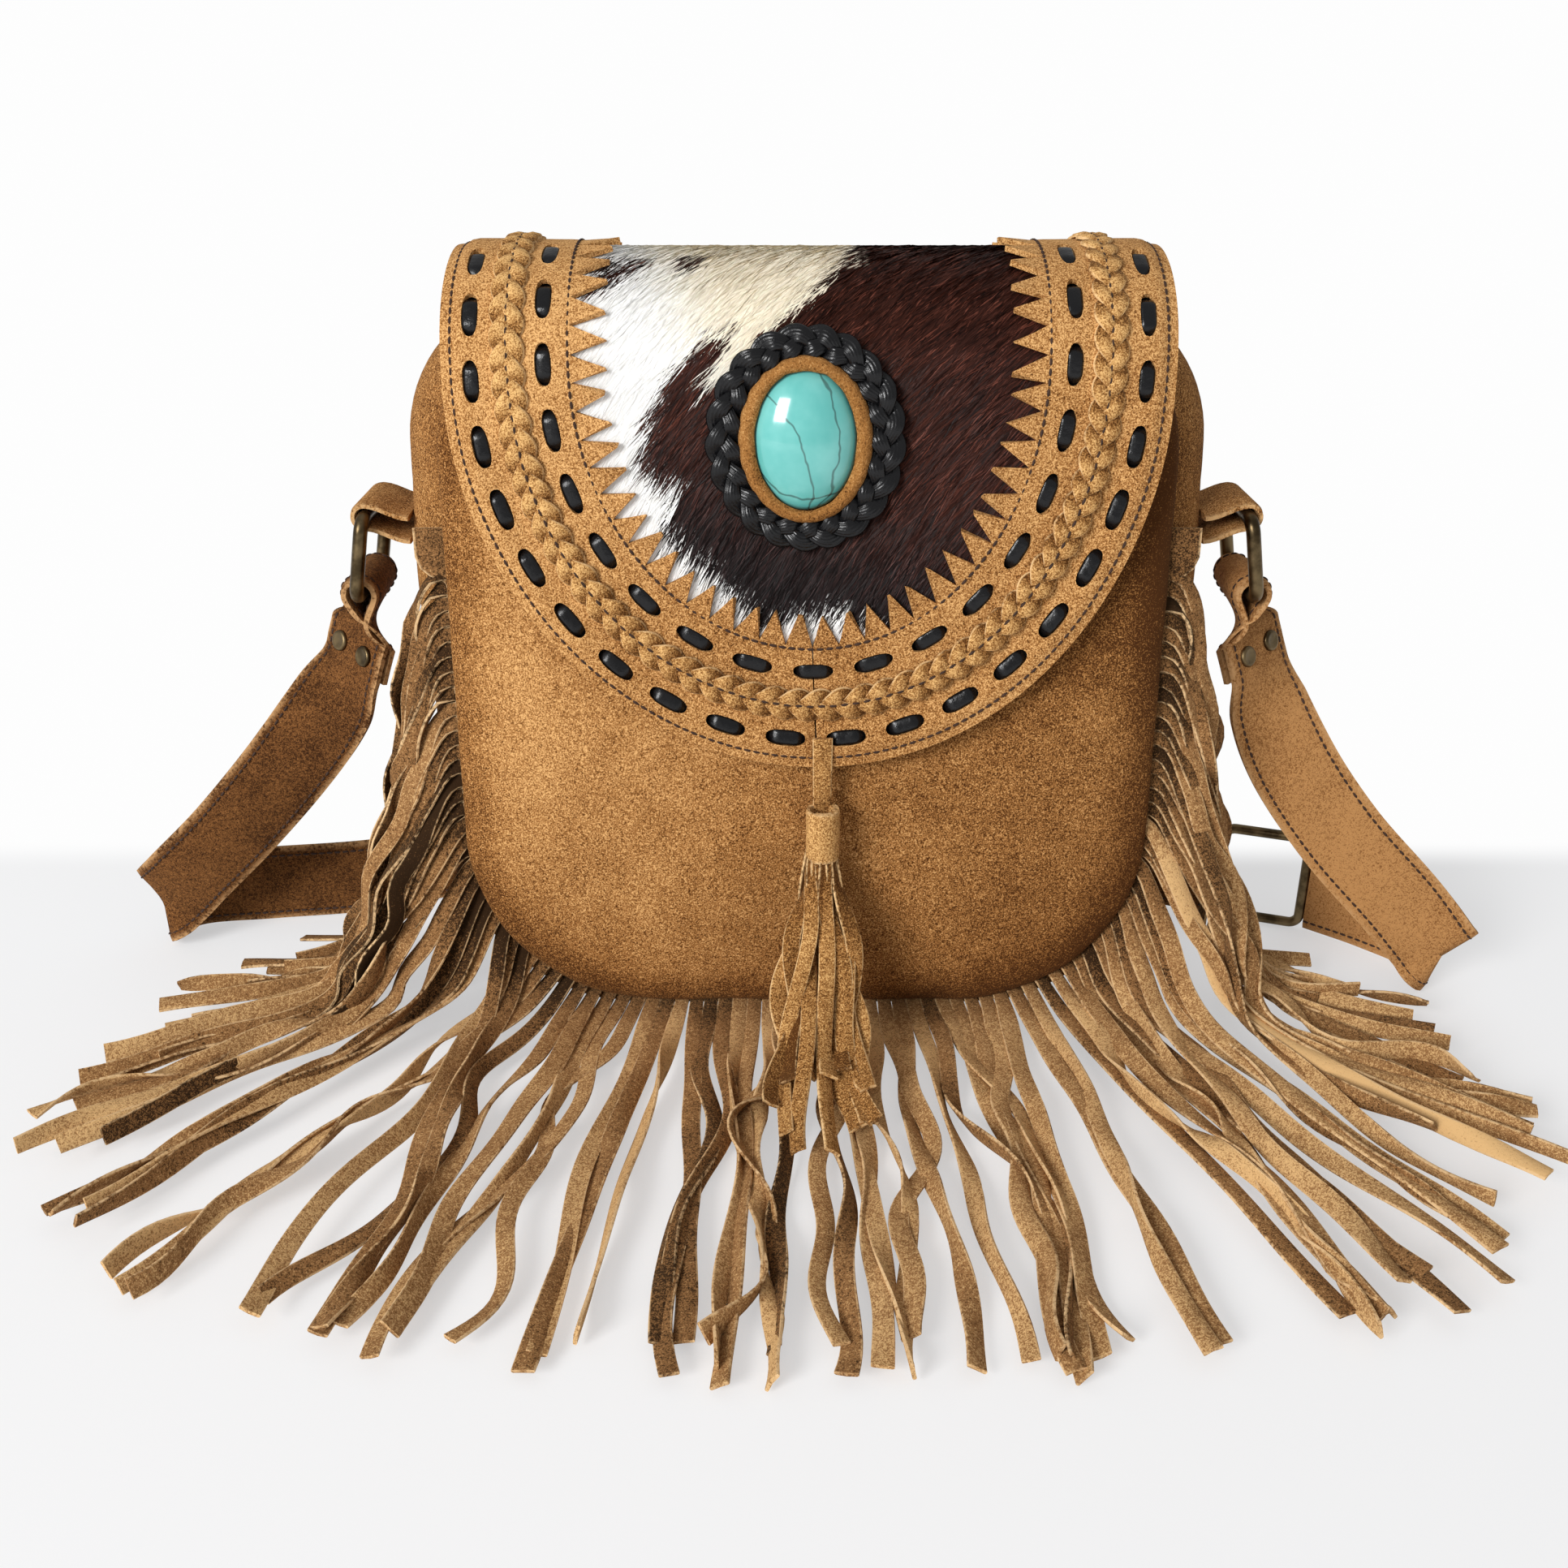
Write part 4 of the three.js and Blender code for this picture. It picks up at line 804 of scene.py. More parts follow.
# %% Border pattern
BORDER, LACE_ROOM, BORDER_HEM = 1.6, 1.6, 4.5
BORDER_TOP = LINING + CLEARANCE + LACE_ROOM + BORDER
TOOTH_ROOT, TOOTH_TIP, TOOTH_PITCH, TOOTH_GAP, TOOTH_BLUNT = 37, 46.5, 7.7, 0.12, 0.25
OUTER_LACE, INNER_LACE, LACE_PITCH = 8.8, 29.3, 18.2
SLOT_LENGTH, SLOT_WIDTH, SLOT_CORNERS, SLOT_ROUND = 12.0, 4.7, 22, 0.8
PATTERN_INSET, PATTERN_STEP, BUTT_GAP, EDGE_POINTS = 20, 1.8, 0.2, 150
pattern_runs = rail_lengths(PATTERN_INSET)
slot_rows = {OUTER_LACE: (np.arange(22) - 10.5) * LACE_PITCH, INNER_LACE: (np.arange(19) - 9) * LACE_PITCH}


def to_pattern(inset_line, run, inset):
    share = np.interp(run, rail_lengths(inset_line), RAIL_SHARES)
    return np.stack(np.broadcast_arrays(np.interp(share, RAIL_SHARES, pattern_runs), inset), axis=-1)


def slot_outline(line, run):
    turn = np.arange(SLOT_CORNERS) / SLOT_CORNERS * 2 * np.pi
    c, s = np.cos(turn), np.sin(turn)
    a = run + SLOT_LENGTH / 2 * np.sign(c) * abs(c) ** SLOT_ROUND
    return to_pattern(line, np.maximum(a, 0), line + SLOT_WIDTH / 2 * np.sign(s) * abs(s) ** SLOT_ROUND)


def tooth_edge(length):
    """The saw-tooth edge of one half. No two teeth are cut quite alike."""
    seam = rail_lengths(TOOTH_ROOT)[-1]
    teeth = int(seam / TOOTH_PITCH)
    pitch = seam / teeth
    edge = []
    for index in range(teeth):
        first = index * pitch
        tip = first + pitch / 2 + rng.uniform(-0.8, 0.8)
        edge += [(first + TOOTH_GAP, TOOTH_ROOT), (tip - TOOTH_BLUNT, TOOTH_TIP + rng.uniform(-1, 0.6)),
                 (tip + TOOTH_BLUNT, TOOTH_TIP + rng.uniform(-1, 0.6)),
                 (first + pitch - TOOTH_GAP, TOOTH_ROOT)]
    inner = np.array([to_pattern(TOOTH_ROOT, *spot) for spot in edge])
    inner[:, 0] = np.clip(inner[:, 0], BUTT_GAP, length)
    return inner


def cut_pattern(side):
    """Flat points and triangles of one half, with its teeth and slots."""
    length = pattern_runs[-1]
    outer = np.stack([np.linspace(length, BUTT_GAP, EDGE_POINTS), np.zeros(EDGE_POINTS)], axis=1)
    loops = [np.vstack([tooth_edge(length), outer])]
    for line, runs in slot_rows.items():
        loops += [slot_outline(line, run * side) for run in runs if run * side > -SLOT_LENGTH / 4]
    inside_u, inside_v = np.meshgrid(np.arange(BUTT_GAP + PATTERN_STEP, length - 1, PATTERN_STEP),
                                     np.arange(0.9, TOOTH_ROOT + 0.5, PATTERN_STEP))
    points = np.vstack([*loops, np.stack([inside_u.ravel(), inside_v.ravel()], axis=1)])
    edges, shift = [], 0
    for loop in loops:
        edges += [(shift + k, shift + (k + 1) % len(loop)) for k in range(len(loop))]
        shift += len(loop)
    cut = geometry.delaunay_2d_cdt([tuple(p) for p in points], edges, [], 1, 1e-4)
    flat, faces = np.array([tuple(p) for p in cut[0]]), np.array(cut[2])
    middle = flat[faces].mean(axis=1)
    share = np.interp(middle[:, 0], pattern_runs, RAIL_SHARES)
    keep = np.ones(len(faces), bool)
    for line, runs in slot_rows.items():
        here = np.interp(share, RAIL_SHARES, rail_lengths(line)) * side
        off = abs((middle[:, 1] - line) * 2 / SLOT_WIDTH) ** 2.5
        for run in runs:
            keep &= (abs((here - run) * 2 / SLOT_LENGTH) ** 2.5 + off) > 1
    return flat, faces[keep]


print(*(len(runs) for runs in slot_rows.values()), "slots in the outer and the inner row")

# %% [markdown]
# The pattern is then laid on the flap, as the leather worker lays the cut border on the lining. It could be
# wrapped on with a Shrinkwrap modifier, but the rails already say where each point goes. Seams press
# grooves into it, and the teeth curl up a little, so that light catches them.

# %% Border laid on the flap
STITCH_INSET, TOOTH_SEAM = 3.0, TOOTH_ROOT - 0.8
GROOVE_WIDTH, BORDER_SHADE = 0.9, 0.22


def border_top(inset):
    rise = mix(LINING + CLEARANCE + BORDER, BORDER_TOP, ease(0, BORDER_HEM + 1.5, inset))
    groove = 0.55 * np.exp(-(((inset - STITCH_INSET) / GROOVE_WIDTH) ** 2))
    groove = groove + 0.4 * np.exp(-(((inset - TOOTH_SEAM) / GROOVE_WIDTH) ** 2))
    return rise - groove


def border_half(side, name):
    flat, faces = cut_pattern(side)
    run, inset = flat.T
    x, down = flat_at(np.interp(run, pattern_runs, RAIL_SHARES), inset)
    curl = 0.9 * np.clip((inset - TOOTH_ROOT) / 9, 0, 1) ** 1.5 * (0.4 + 0.6 * np.sin(run * 1.7) ** 2)
    swell = 0.25 * np.sin(run / 9) * np.sin(inset / 7)
    obj = mesh_of(name, drape(side * x, down, border_top(inset) + curl + swell), faces)
    return shade(thicken(obj, BORDER), lambda x, y, z: np.full(len(x), BORDER_SHADE))


SIDES = ((-1, "left"), (1, "right"))
for side, name in SIDES:
    border = border_half(side, f"border_{name}")
    give(border, "flap", "suede_tan", [f"flap_border_{name}"], suede_tan, cut_edge)

# %% [markdown]
# Two flat laces of black leather run in and out of the slots. Single pads in the slots could stand for
# them, but real laces dip under the border at both ends of each slot. So each lace is one plump ribbon
# along its rail that rises at the slots and goes under between them.

# %% Laces
LACE_WIDTH, LACE, LACE_STEP, LACE_UNDER, LACE_OVER = 4.3, 1.1, 0.8, 0.35, 0.5


def lace(name, line):
    runs = slot_rows[line]
    run = np.arange(runs[0] - SLOT_LENGTH / 2, runs[-1] + SLOT_LENGTH / 2, LACE_STEP)
    off = abs(run[:, None] - runs[None]).min(axis=1)
    up = ease(1.0, 0.45, off * 2 / SLOT_LENGTH)
    lift = mix(LINING + CLEARANCE + LACE_UNDER, BORDER_TOP - LACE_OVER, up)
    across = rail(line, run, line + 0.5, lift) - rail(line, run, line - 0.5, lift)
    strip = ribbon(rail(line, run, line, lift), across, LACE_WIDTH, LACE, PLUMP_SECTION)
    return ribbon_piece(name, [(strip[0], strip[1], 0 * strip[2])])


give(lace("lace_outer", OUTER_LACE), "flap", "black_leather", ["outer_lace"], leather_black)
give(lace("lace_inner", INNER_LACE), "flap", "black_leather", ["inner_lace"], leather_black)

# %% [markdown]
# The trim is a plait of three strands of golden suede. A bump pattern on a tube could look like it from
# afar, but the strands have to cast shadows on each other. So three ribbons swing from side to side and
# pass over and under, a third of a turn apart. The same function plaits the black ring round the stone.

# %% Braid trim
BRAID_INSET, BRAID_SHADE, BRAID_DARK = 19.5, 0.6, 0.2
BRAID_HALF = rail_lengths(BRAID_INSET)[-1]
BRAID_TURN, BRAID_SWING, BRAID_WEAVE, BRAID_STRAND, BRAID_THICK = 20, 2.5, 0.9, 4.5, 1.15
BRAID_MIDDLE = BORDER_TOP + BRAID_WEAVE + BRAID_THICK / 2 + 0.15
PLAIT_STEPS = 30


def plait(path, length, turns, swing, weave, width, thick, closed, cup):
    """Three strands along a path that takes run, across and lift, and their painted shade where they dive and
    painted light where they rise.
    """
    run = np.linspace(0, length, int(turns * PLAIT_STEPS), endpoint=not closed)
    strips, shades = [], []
    for k in range(3):
        phase = 2 * np.pi * (run / length * turns + k / 3)
        across, lift = swing * np.sin(phase), weave * np.sin(2 * phase)
        centre = path(run, across, lift)
        up = path(run, across, lift + 1) - centre
        side = np.cross(up, headings(centre, closed))
        wide = width * (0.82 + 0.3 * np.sin(phase) ** 2)
        strips.append(ribbon(centre, side, wide, thick, FLAT_SECTION, closed, cup))
        shades.append(np.repeat(BRAID_SHADE * np.sin(2 * phase) - BRAID_DARK, len(FLAT_SECTION)))
    return strips, shades


def braid_path(run, across, lift):
    """A place on the braid, which is pressed flat where the flap rolls over the top."""
    run = run - BRAID_HALF + 1e-6
    press = mix(1.0, 0.5, ease(BRAID_HALF - ROLL_LENGTH - 30, BRAID_HALF - ROLL_LENGTH, abs(run)))
    pressed = BORDER_TOP + (BRAID_MIDDLE + lift - BORDER_TOP) * press
    return rail(BRAID_INSET, run, BRAID_INSET + across, pressed)


braid = plait(braid_path, 2 * BRAID_HALF, round(2 * BRAID_HALF / BRAID_TURN), BRAID_SWING, BRAID_WEAVE,
              BRAID_STRAND, BRAID_THICK, False, -0.6)
give(ribbon_piece("braid", *braid), "flap", "suede_gold", ["braid_trim"], suede_gold)

# %% [markdown]
# In the middle of the flap sits a piece of hide with the hair left on, white and cream with one large dark
# patch. The patch could be painted on a picture, but no picture is used here. So it is an outline of a few
# corners, and a spot is dark if it lies inside. The skin has the colours of its hair, so that no gap shows.

# %% Hide skin
COWHIDE_INSET, COWHIDE = 33, 1.3
COWHIDE_TOP = LINING + CLEARANCE + COWHIDE
FACES_FRONT, OVER_ROLL = -20, -45.0
DARK_PATCH = np.array([
    (13, -39), (8, -27), (-10, -13), (-15, -4), (-29, 2), (-18, -13), (-28, -11), (-41, 7), (-45, 23),
    (-34, 30), (-40, 41), (-25, 54), (-12, 67), (7, 64), (27, 71), (40, 78), (80, 60), (90, 0), (90, -60),
    (75, -99), (30, -99), (22, -70)], float)
DARK_SPOTS = [np.array([(-56, -42), (-42, -41), (-46, -34), (-51, -30), (-61, -25), (-60, -31)], float),
              np.array([(-35, -43), (-26, -42), (-28, -37), (-32, -36)], float)]
WHITE, CREAM = np.array(srgb(250, 249, 246)), np.array(srgb(246, 230, 198))
BROWN, BLACK = np.array(srgb(52, 26, 19)), np.array(srgb(26, 18, 18))


def inside(outline, x, down):
    """Which spots lie inside an outline: those with an odd number of edges to their right."""
    a, b = outline, np.roll(outline, -1, axis=0)
    crossing = (a[None, :, 1] > down[:, None]) != (b[None, :, 1] > down[:, None])
    slope = (b[:, 0] - a[:, 0]) / np.where(b[:, 1] == a[:, 1], 1e-9, b[:, 1] - a[:, 1])
    left = x[:, None] < a[None, :, 0] + slope[None] * (down[:, None] - a[None, :, 1])
    return (crossing & left).sum(axis=1) % 2 == 1


def is_dark(x, down):
    found = inside(DARK_PATCH, x, down)
    for spot in DARK_SPOTS:
        found |= inside(spot, x, down)
    return found


def coat(x, down, dark):
    """Colour of the hair at spots of the hide, dark or not."""
    creamy = (0.75 * ease(-40, -8, x - 0.35 * down) * ease(30, -12, down))[:, None]
    low = ease(15, 60, down - 0.3 * x)[:, None]
    return np.where(dark[:, None], mix(BROWN, BLACK, low), mix(WHITE, CREAM, creamy))


skin = sheet("hide_skin", 40, 90, tongue(COWHIDE_INSET, ROOT_GAP, COWHIDE_TOP), COWHIDE)
give(skin, "flap", "hide", ["cowhide_panel"], hide_finish)
skin_x, skin_y, skin_z = points_of(skin).T / MM
skin_down = np.where(skin_y < FACES_FRONT, FLAP_SHOULDER - skin_z, OVER_ROLL)
store(skin.data, "tint", coat(skin_x, skin_down, is_dark(skin_x, skin_down)))

# %% [markdown]
# The hair is short and lies close, all one way. A particle system could grow it, but only a mesh can ride
# on the flap and be exported with it. So thousands of roots are scattered on the hide, and a root is kept
# if the tip of its hair is on the hide too.

# %% Hair roots
HAIR_COUNT = 36000
HAIR_TRIES = 3 * HAIR_COUNT
HAIR_LENGTH, HAIR_WIDTH, PATCH_BLUR, ROLL_COVER = 13.0, 0.4, 1.2, 0.92
HAIR_TURN, TURN_ACROSS, TURN_DOWN, TURN_SPREAD = 132, 6, 14, 7
HALF_WIDE, HALF_DROP = FLAP_HALF - COWHIDE_INSET, FLAP_DROP - COWHIDE_INSET


def on_hide(x, down):
    return (x / HALF_WIDE) ** 2 + (np.maximum(down, 0) / HALF_DROP) ** 2 < 1


try_x = rng.uniform(-HALF_WIDE, HALF_WIDE, HAIR_TRIES)
try_down = rng.uniform(-ROLL_COVER * ROLL_LENGTH, HALF_DROP, HAIR_TRIES)
try_heading = np.radians(HAIR_TURN + TURN_ACROSS * try_x / HALF_WIDE - TURN_DOWN * ease(0, 70, try_down)
                         + rng.normal(0, TURN_SPREAD, HAIR_TRIES))
try_length = HAIR_LENGTH * rng.uniform(0.6, 1.15, HAIR_TRIES)
tip_x, tip_down = try_x + np.cos(try_heading) * try_length, try_down + np.sin(try_heading) * try_length
grows = on_hide(try_x, try_down) & on_hide(tip_x, tip_down)
hair_x, hair_down, heading, length = (values[grows][:HAIR_COUNT]
                                      for values in (try_x, try_down, try_heading, try_length))
hair_count = len(hair_x)
dark = is_dark(hair_x + rng.normal(0, PATCH_BLUR, hair_count),
               hair_down + rng.normal(0, PATCH_BLUR, hair_count))
print(hair_count, "hairs,", dark.sum(), "of them dark")

# %% [markdown]
# Each hair could be a curve, but tens of thousands of curves are heavy. A blade of five points and three
# triangles is enough: two points at its root, two at its bend and one at its tip. Every blade has its own
# lift, slant and tone, which gives the coat its gloss and its flecks.

# %% Hair blades
BLADE = ((0, 0.0, 0.8), (0.45, 0.75, 1.0), (1.0, 1.0, 0.0))
# Painted shade darkens each blade at its root and a painted sheen lightens its tip.
ROOT_SHADE_TIP_SHEEN = (0.9, 0.9, 1.0, 1.0, 1.1)
HAIR_SUNK, FLECK_LIMIT, TINT_LIMIT = 0.1, 4, 0.97
step_x, step_down = np.cos(heading), np.sin(heading)
rise, slant = rng.uniform(0.05, 0.3, hair_count), rng.normal(-0.05, 0.08, hair_count)
rows = []
for share, lift, wide in BLADE:
    bend = rng.normal(0, 0.06, hair_count) * length * share**2
    x = hair_x + step_x * length * share - step_down * bend
    down = hair_down + step_down * length * share + step_x * bend
    for hand in ((-1, 1) if wide else (0,)):
        side_x, side_down = -step_down * hand * wide * HAIR_WIDTH / 2, step_x * hand * wide * HAIR_WIDTH / 2
        rows.append(drape(x + side_x, down + side_down, COWHIDE_TOP - HAIR_SUNK + lift * rise + slant * hand))
first = np.arange(hair_count)[:, None] * len(rows)
hair_faces = np.vstack([first + [0, 1, 3], first + [0, 3, 2], first + [2, 3, 4]])
fleck = np.where(dark, np.exp(rng.normal(-0.1, 0.8, hair_count)), rng.uniform(0.8, 1.12, hair_count))
hair_tint = coat(hair_x, hair_down, dark | is_dark(hair_x, hair_down))
hair_tint = hair_tint * np.minimum(fleck, FLECK_LIMIT)[:, None]
blade_tint = np.clip(np.stack([hair_tint * light for light in ROOT_SHADE_TIP_SHEEN], axis=1), 0, TINT_LIMIT)
blade_tint[..., 3] = 1
hair = mesh_of("hide_hair", np.stack(rows, axis=1).reshape(-1, 3), hair_faces, tint=blade_tint.reshape(-1, 4))
only(hair)
bpy.ops.object.shade_smooth()
give(hair, "flap", "hide", [], hide_finish)

# %% [markdown]
# The stone is a polished oval cabochon with a flat underside. It could be one more formula, but a sphere
# that is cut in half and stretched in edit mode is the plainest way to a dome. It is made at the origin,
# and then turned and moved to its place on the flap.

# %% Stone
STONE_WIDTH, STONE_HEIGHT, STONE_DOME, STONE_CUT = 30, 40, 8.5, 0.02
STONE_X, STONE_DOWN, STONE_REACH = -1, 18.5, 5
SETTING_FLOOR = COWHIDE_TOP + CLEARANCE


def set_in_place(obj, middle, along, across):
    """Turns and moves a piece that was modelled at the origin, so that its place is in its mesh."""
    along, across = Vector(along).normalized(), Vector(across).normalized()
    turn = Matrix((along, across, along.cross(across))).transposed().to_4x4()
    obj.matrix_world = Matrix.Translation(Vector(middle) * MM) @ turn
    only(obj)
    bpy.ops.object.transform_apply(location=True, rotation=True, scale=True)
    bpy.ops.object.shade_smooth_by_angle(angle=SHARP_ANGLE)
    return obj


def near_stone(x, down):
    return drape(STONE_X + x, STONE_DOWN + down, SETTING_FLOOR)


stone = open_up(primitive("stone", bpy.ops.mesh.primitive_uv_sphere_add, segments=72, ring_count=36,
                          radius=1))
bpy.ops.mesh.bisect(plane_co=(0, 0, STONE_CUT), plane_no=(0, 0, 1), use_fill=True, clear_inner=True)
bpy.ops.mesh.select_all(action="SELECT")
bpy.ops.transform.resize(value=(STONE_WIDTH / 2 * MM, STONE_HEIGHT / 2 * MM, STONE_DOME * MM),
                         center_override=(0, 0, 0))
bpy.ops.object.mode_set(mode="OBJECT")
set_in_place(stone, near_stone(0, 0), near_stone(STONE_REACH, 0) - near_stone(-STONE_REACH, 0),
             near_stone(0, -STONE_REACH) - near_stone(0, STONE_REACH))
give(stone, "flap", "stone", ["stone_cabochon"], stone_finish)

# %% [markdown]
# A rolled strip of suede holds the stone. A torus would be too even, because the real strip is drawn
# together in small folds. So a closed profile is carried round the stone, and a ripple moves its upper part
# in and out.

# %% Bezel
SQUAT, BEZEL_STEPS = 0.82, 96
BEZEL_PROFILE = np.array([(0.5, 0), (3.0, 0), (3.9, 1.4), (3.7, 3.2), (2.7, 4.6), (1.3, 5.1), (0.1, 4.7),
                          (-0.7, 3.9), (0.2, 3.6)])


def setting(angle, out, lift):
    """A place round the stone, by its angle, its way out from the stone's edge and its lift."""
    return drape(STONE_X + (STONE_WIDTH / 2 + out) * np.cos(angle),
                 STONE_DOWN - (STONE_HEIGHT / 2 + SQUAT * out) * np.sin(angle), SETTING_FLOOR + lift)


round_turn = np.linspace(0, 2 * np.pi, BEZEL_STEPS, endpoint=False)
profile = through(np.vstack([BEZEL_PROFILE, BEZEL_PROFILE[:1]]), np.linspace(0, 1, 31)[:-1])
fold = 0.25 * np.sin(round_turn * 11) + 0.2 * np.sin(round_turn * 17 + 1)
wobble = fold[:, None] * ease(3, 6, profile[None, :, 1])
bezel_points = setting(round_turn[:, None], profile[None, :, 0] + wobble, profile[None, :, 1])
bezel = tidy(mesh_of("bezel", *tube(bezel_points, True)))
give(bezel, "flap", "suede_dark", ["stone_bezel"], suede_bezel)

# %% [markdown]
# Round the bezel lies a ring of plaited black leather. It could be a copy of the trim bent to a ring, but
# the plait's function takes any path. Here the path is the oval round the stone, and the strands close on
# themselves after a whole number of turns.

# %% Braided ring
BEZEL_REACH, RING_HALF, RING_TURNS, RING_SEAT = 3.4, 4.2, 7, 0.4
RING_MIDDLE = BEZEL_REACH + CLEARANCE + RING_HALF
RING_SWING, RING_WEAVE, RING_STRAND, RING_THICK = 2.8, 1.2, 5.0, 1.0


def ring_path(run, across, lift):
    return setting(run, RING_MIDDLE + across, RING_WEAVE + RING_THICK / 2 + RING_SEAT + lift)


ring = plait(ring_path, 2 * np.pi, RING_TURNS, RING_SWING, RING_WEAVE, RING_STRAND, RING_THICK, True, -0.3)
give(ribbon_piece("ring_plait", *ring), "flap", "black_leather", ["braided_ring"], leather_black)

# %% [markdown]
# A thong goes through the tip of the flap and carries the tassel. It is a short strip of golden suede, and
# could be a flat box, but it has to bend when the flap opens. As a ribbon of fourteen steps it has points
# to bend at.

# %% Thong
THONG_WIDTH, THONG, THONG_LENGTH, THONG_ON_FLAP, THONG_STEPS, THONG_SHIFT = 6, 1.4, 20, 8, 14, 2
HEAD_RADIUS, HEAD_LENGTH = 4.75, 16.5
thong_lift = BORDER_TOP + CLEARANCE + THONG / 2
thong_top = drape(0, FLAP_DROP - THONG_ON_FLAP, thong_lift) + [THONG_SHIFT, 0, 0]
head_top = thong_top[2] - THONG_LENGTH - CLEARANCE
head_bottom = head_top - HEAD_LENGTH
head_y = thong_top[1] - HEAD_RADIUS + THONG
hang = np.linspace(0, 1, THONG_STEPS)
thong_line = spots(thong_top[0], thong_top[1] - 0.5 * np.sin(hang * np.pi),
                   mix(thong_top[2] + 1.5, head_top - 3, hang))
thong_across = np.tile([1.0, 0, 0], (THONG_STEPS, 1))
thong = ribbon_piece("thong", [ribbon(thong_line, thong_across, THONG_WIDTH * (1 - 0.1 * hang), THONG)])
print("thong from", round(thong_top[2]), "to", round(head_top), "mm above the ground")

# %% [markdown]
# The tassel is a piece of suede that is cut to strands and rolled up: the roll is its head, and the strands
# fall forwards onto the fringe. It could be a cylinder with strips below it, but the roll's open edge
# shows. So the head is a ribbon along a spiral, and each strand is a ribbon of its own.

# %% Tassel
ROLL_STEPS, ROLL_TURNS, ROLL_SKIN, ROLL_START = 46, 1.55, 1.3, 2.2
TASSEL_STRANDS, TASSEL_STEPS, TASSEL_REACH, TASSEL_SPREAD, TASSEL_SKIN = 14, 30, 52, 22, 1.1
roll_turn = np.linspace(0, 2 * np.pi * ROLL_TURNS, ROLL_STEPS)
roll_radius = HEAD_RADIUS - ROLL_SKIN + 1.5 * roll_turn / roll_turn[-1]
head_line = spots(thong_top[0] + roll_radius * np.cos(roll_turn - ROLL_START),
                  head_y + roll_radius * np.sin(roll_turn - ROLL_START), (head_top + head_bottom) / 2)
head = ribbon(head_line, np.tile(UPRIGHT, (ROLL_STEPS, 1)), HEAD_LENGTH, ROLL_SKIN)


def tassel_strand(index):
    angle = (index + rng.uniform(0.2, 0.8)) / TASSEL_STRANDS * 2 * np.pi
    share = np.linspace(0, 1, TASSEL_STEPS)
    reach, free = TASSEL_REACH * rng.uniform(0.85, 1.1), ease(0, 0.3, share)
    x = thong_top[0] + HEAD_RADIUS * 0.75 * np.cos(angle) + TASSEL_SPREAD / 2 * np.cos(angle) * share
    y = head_y + HEAD_RADIUS * 0.75 * np.sin(angle) + (0.16 * np.sin(angle) - 1) * reach * share**1.6
    z = mix(head_bottom + 3, 9 + 4 * (1 + np.sin(angle)), np.sin(share * np.pi / 2))
    x = x + rng.normal(0, 2.2) * np.sin(share * rng.uniform(5, 11) + rng.uniform(0, 6)) * free
    y = y + rng.normal(0, 2.5) * np.sin(share * rng.uniform(5, 9)) * free
    twist = angle + np.pi / 2 + rng.normal(0, 1.3) * share
    lying = ease(0.02, 0.4, share)[:, None]
    across = mix(spots(np.cos(twist), np.sin(twist), 0), spots(1, 0, 0.8 * np.sin(twist)), 0.8 * lying)
    width = rng.uniform(4.6, 6.0)
    strip = ribbon(spots(x, y, z), across, width, TASSEL_SKIN, cup=0.4 * rng.normal(0, 1) * share)
    # Each strand has a random tone; painted shade darkens it just under the head and on the strands at the
    # back.
    tone = rng.normal(-0.2, 0.45) - 0.5 * ease(0.3, 0.05, share) - 0.35 * ease(-0.2, 1, np.sin(angle))
    return strip, np.repeat(tone, len(FLAT_SECTION))


tassel_strips, tassel_shades = zip(*(tassel_strand(k) for k in range(TASSEL_STRANDS)))
# Painted light makes the rolled head lighter than the strands.
tassel = ribbon_piece("tassel_strands", [head, *tassel_strips], [0.35, *tassel_shades])
give(tassel, "tassel", "suede_gold", ["tassel"], suede_gold)

# %% [markdown]
# A leather tab on each side holds a rectangular ring of brass wire. The ring could be a torus that is
# squeezed, but its corners would be too soft. A plane with bevelled corners gives the wire's path, and a
# curve made from it gets a round section. The tab is a ribbon that goes round the ring's upper bar and
# back.

# %% Rings and tabs
RING_HEIGHT, RING_INNER_WIDTH, RING_INNER_HEIGHT, RING_WIRE = 163, 31, 21, 4.4
LEAN, TAB_REACH, TAB_WIDTH, TAB, TAB_DIP = math.radians(10), 13, 28, 2, 4
BOW_STEPS, TAB_STEPS, TAB_SEWN, LOOP_PLAY = 15, 8, 0.4, 0.4
RING_X = HALF_WIDTH + SIDE_BULGE + TAB_REACH
RING_DROP = RING_INNER_HEIGHT + RING_WIRE
LOOP_RADIUS = RING_WIRE / 2 + LOOP_PLAY


def wire_loop(name, width, height, wire):
    """A round wire bent to a rectangle: the outline of a plane with rounded corners, made thick."""
    open_up(primitive(name, bpy.ops.mesh.primitive_plane_add, size=1))
    bpy.ops.transform.resize(value=((width + wire) * MM, (height + wire) * MM, 1))
    bpy.ops.mesh.bevel(offset=wire * MM, segments=8, affect="VERTICES")
    bpy.ops.mesh.select_all(action="SELECT")
    bpy.ops.mesh.delete(type="ONLY_FACE")
    bpy.ops.object.mode_set(mode="OBJECT")
    bpy.ops.object.convert(target="CURVE")
    curve = bpy.context.object.data
    curve.bevel_depth, curve.bevel_resolution = wire / 2 * MM, 6
    bpy.ops.object.convert(target="MESH")
    return bpy.context.object


def ring_frame(side):
    """Middle of a ring's upper bar and the way that the ring leans down."""
    return np.array([side * RING_X, 0, RING_HEIGHT]), np.array([side * math.sin(LEAN), 0, -math.cos(LEAN)])


